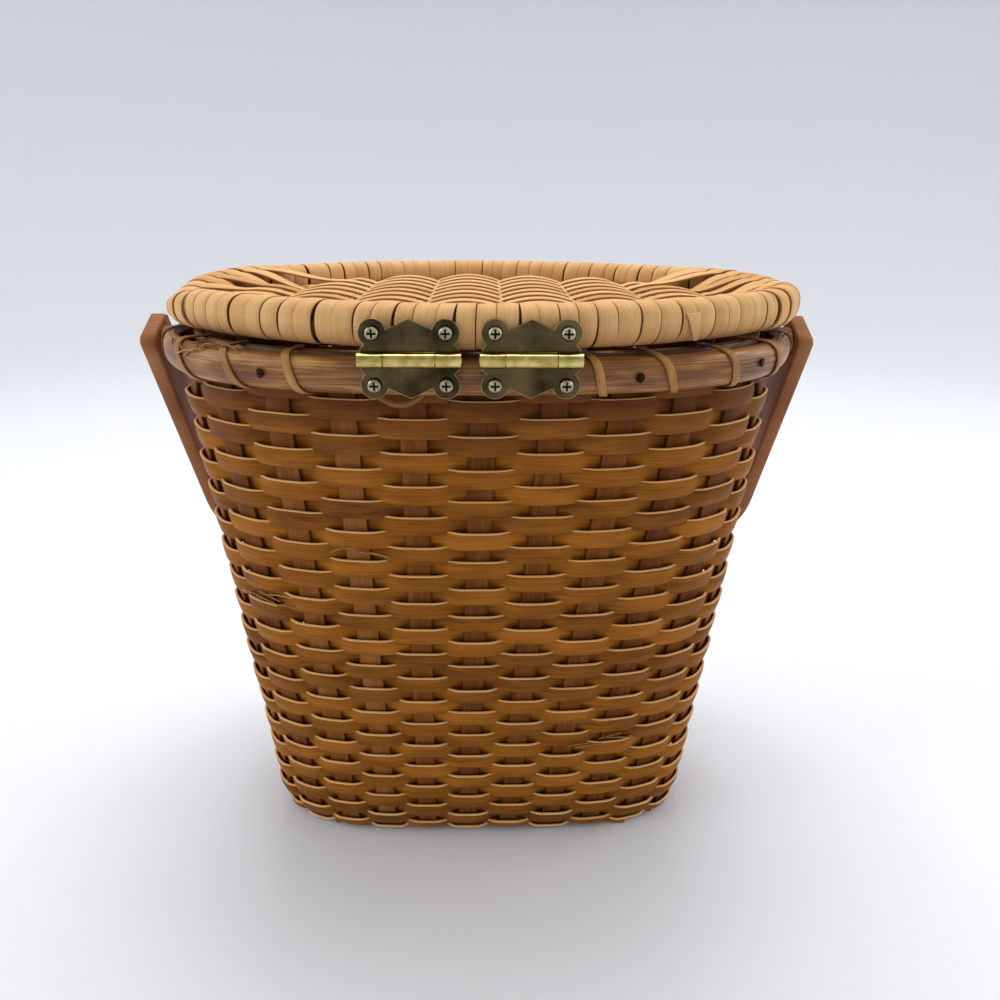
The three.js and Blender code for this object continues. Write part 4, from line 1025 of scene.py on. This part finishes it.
def make_handle():
    rest = math.radians(HANDLE_REST_DEGREES)
    half = HANDLE_INSIDE + HANDLE_THICKNESS / 2
    power = 2 / HANDLE_SQUARENESS
    leg = np.linspace(-HANDLE_END, HANDLE_STRAIGHT, HANDLE_STRAIGHT_STEPS)
    path = [(-half, drop) for drop in leg]
    for i in range(1, HANDLE_ARCH_STEPS):
        angle = math.pi - math.pi * i / HANDLE_ARCH_STEPS
        c, s = math.cos(angle), math.sin(angle)
        path.append((half * math.copysign(abs(c) ** power, c), HANDLE_STRAIGHT + HANDLE_RISE * s ** power))
    path += [(half, drop) for drop in leg[::-1]]
    lengths = [0.0]
    for (x0, d0), (x1, d1) in zip(path, path[1:]):
        lengths.append(lengths[-1] + math.hypot(x1 - x0, d1 - d0))

    def place(along, across):
        spot = along * lengths[-1]
        x = float(np.interp(spot, lengths, [p[0] for p in path]))
        drop = float(np.interp(spot, lengths, [p[1] for p in path]))
        from_end = min(spot, lengths[-1] - spot)
        width = HANDLE_WIDTH
        if from_end < HANDLE_CORNER:
            width -= 2 * HANDLE_CORNER * (1 - math.sqrt(1 - (1 - from_end / HANDLE_CORNER) ** 2))
        side = (across - 0.5) * width
        return Vector((x, side * math.cos(rest) + drop * math.sin(rest),
                       PIVOT_Z + side * math.sin(rest) - drop * math.cos(rest)))

    bm = new_bmesh()
    add_strip(bm, HANDLE_STEPS, 4, lengths[-1], HANDLE_WIDTH, HANDLE_TONE, place, whole=True)
    finish_piece(bm, "handle_slat", HANDLE_WOOD, "handle", ["handle_bow"],
                 thickness=HANDLE_THICKNESS, edge=HANDLE_EDGE, edge_segments=2)


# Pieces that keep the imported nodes' shapes

slots = {row["node"]: row["material_slot"] for row in frame["record"]["subparts"]}


def dress_frame_nodes():
    finishes = {"brass": PAINTED_DARK_BRASS, "screw_steel": SCREW_STEEL, "handle_wood": SPACER_WOOD}
    for name, piece in frame["nodes"].items():
        finish = finishes.get(slots[name])
        if name.startswith("rim_nail"):
            finish = IRON_NAIL
        elif name.startswith("handle_pivot"):
            finish = PIVOT_STEEL
        elif name.endswith("hinge_pin"):
            finish = BRIGHT_BRASS
        if finish:
            piece.data.materials.clear()
            piece.data.materials.append(finish)


def make_leaves():
    """The hinge leaves as copies of their nodes, so that the knuckles can take the brass painted bright and be
    smooth.
    """
    for name, node in frame["nodes"].items():
        if not name.endswith("_leaf"):
            continue
        bm = bmesh.new()
        bm.from_mesh(node.data)
        bmesh.ops.remove_doubles(bm, verts=bm.verts, dist=LEAF_MERGE * MM)
        bmesh.ops.scale(bm, vec=(1 / MM,) * 3, verts=bm.verts)
        for face in bm.faces:
            middle = face.calc_center_median()
            from_axis = math.hypot(middle.y - HINGE_AXIS_Y, middle.z - HINGE_AXIS_Z)
            if from_axis < BARREL_RADIUS + BARREL_SLACK:
                face.material_index = 1
        body = "lid" if "_lid_" in name else "basket"
        piece = finish_piece(bm, name + "_plate", PAINTED_DARK_BRASS, body, [name])
        piece.data.materials.append(BRIGHT_BRASS)
        for face in piece.data.polygons:
            is_round = abs(face.normal.x) < 0.5 and face.area > BARREL_SMALLEST_FACET * MM * MM
            face.use_smooth = face.material_index == 1 and is_round


# Setting

def make_sweep():
    """A pale round sweep, higher behind the basket than in front."""
    bm = bmesh.new()
    grid = bmesh.ops.create_grid(bm, x_segments=SWEEP_STEPS[0], y_segments=SWEEP_STEPS[1], size=0.5)
    arc = SWEEP_CURVE * math.pi / 2
    for vert in grid["verts"]:
        angle = 2 * math.pi * vert.co.x
        wall = mix(SWEEP_FRONT_WALL, SWEEP_BACK_WALL, smooth(math.sin(angle), *SWEEP_RISE))
        spot = (vert.co.y + 0.5) * (SWEEP_FLOOR + arc + wall)
        turn = min(max(spot - SWEEP_FLOOR, 0.0) / SWEEP_CURVE, math.pi / 2)
        out = min(spot, SWEEP_FLOOR) + SWEEP_CURVE * math.sin(turn)
        up = SWEEP_CURVE * (1 - math.cos(turn)) + max(spot - SWEEP_FLOOR - arc, 0.0)
        vert.co = Vector((out * math.cos(angle), out * math.sin(angle), up))
    bmesh.ops.remove_doubles(bm, verts=bm.verts, dist=SWEEP_MERGE)
    bmesh.ops.recalc_face_normals(bm, faces=bm.faces)
    mesh = bpy.data.meshes.new("sweep")
    bm.to_mesh(mesh)
    bm.free()
    for face in mesh.polygons:
        face.use_smooth = True
    sweep = bpy.data.objects.new("sweep", mesh)
    bpy.context.collection.objects.link(sweep)
    # Seamless paper: cool white and quite matt
    material, tree, shader = new_material("pale paper sweep")
    shader.inputs["Base Color"].default_value = colour("#e6e8ed")
    shader.inputs["Roughness"].default_value = 0.85
    mesh.materials.append(material)


def make_light():
    world = bpy.data.worlds.new("pale room")
    bpy.context.scene.world = world
    world.use_nodes = True
    background = world.node_tree.nodes["Background"]
    background.inputs["Color"].default_value = colour("#e8e7e4")
    background.inputs["Strength"].default_value = ROOM_STRENGTH
    for name, place, size, power in LAMPS:
        lamp = bpy.data.lights.new(name, "AREA")
        lamp.energy = power
        lamp.size = size
        holder = bpy.data.objects.new(name, lamp)
        holder.location = place
        holder.rotation_euler = (Vector(LAMP_AIM) - Vector(place)).to_track_quat("-Z", "Y").to_euler()
        bpy.context.collection.objects.link(holder)


def make_camera():
    """The camera where the picture was taken from, looking at the hinge side."""
    camera = bpy.data.cameras.new("camera")
    camera.sensor_width = CAMERA_SENSOR_MM
    camera.lens = CAMERA_LENS_MM
    camera.clip_start = CAMERA_NEAREST
    holder = bpy.data.objects.new("camera", camera)
    holder.location = CAMERA_PLACE
    tip = math.pi / 2 - math.radians(CAMERA_PITCH_DEGREES)
    holder.rotation_euler = (Matrix.Rotation(CAMERA_YAW, 3, "Z") @ Matrix.Rotation(tip, 3, "X")
                             @ Matrix.Rotation(CAMERA_ROLL, 3, "Z")).to_euler()
    bpy.context.collection.objects.link(holder)
    bpy.context.scene.camera = holder
    bpy.context.scene.view_settings.view_transform = "Standard"


make_sweep()
make_light()
make_camera()
make_wall_weavers()
make_stakes()
make_base_weavers()
make_hoops()
cane_dice = random.Random(SEED + 4)
make_lashing(cane_dice)
make_loose_cane(cane_dice)
make_lid_core()
make_lid_rim_strips()
lid_dice = random.Random(SEED + 6)
make_lid_weave(lid_dice)
make_lid_ribs(lid_dice)
make_handle()
make_leaves()
dress_frame_nodes()
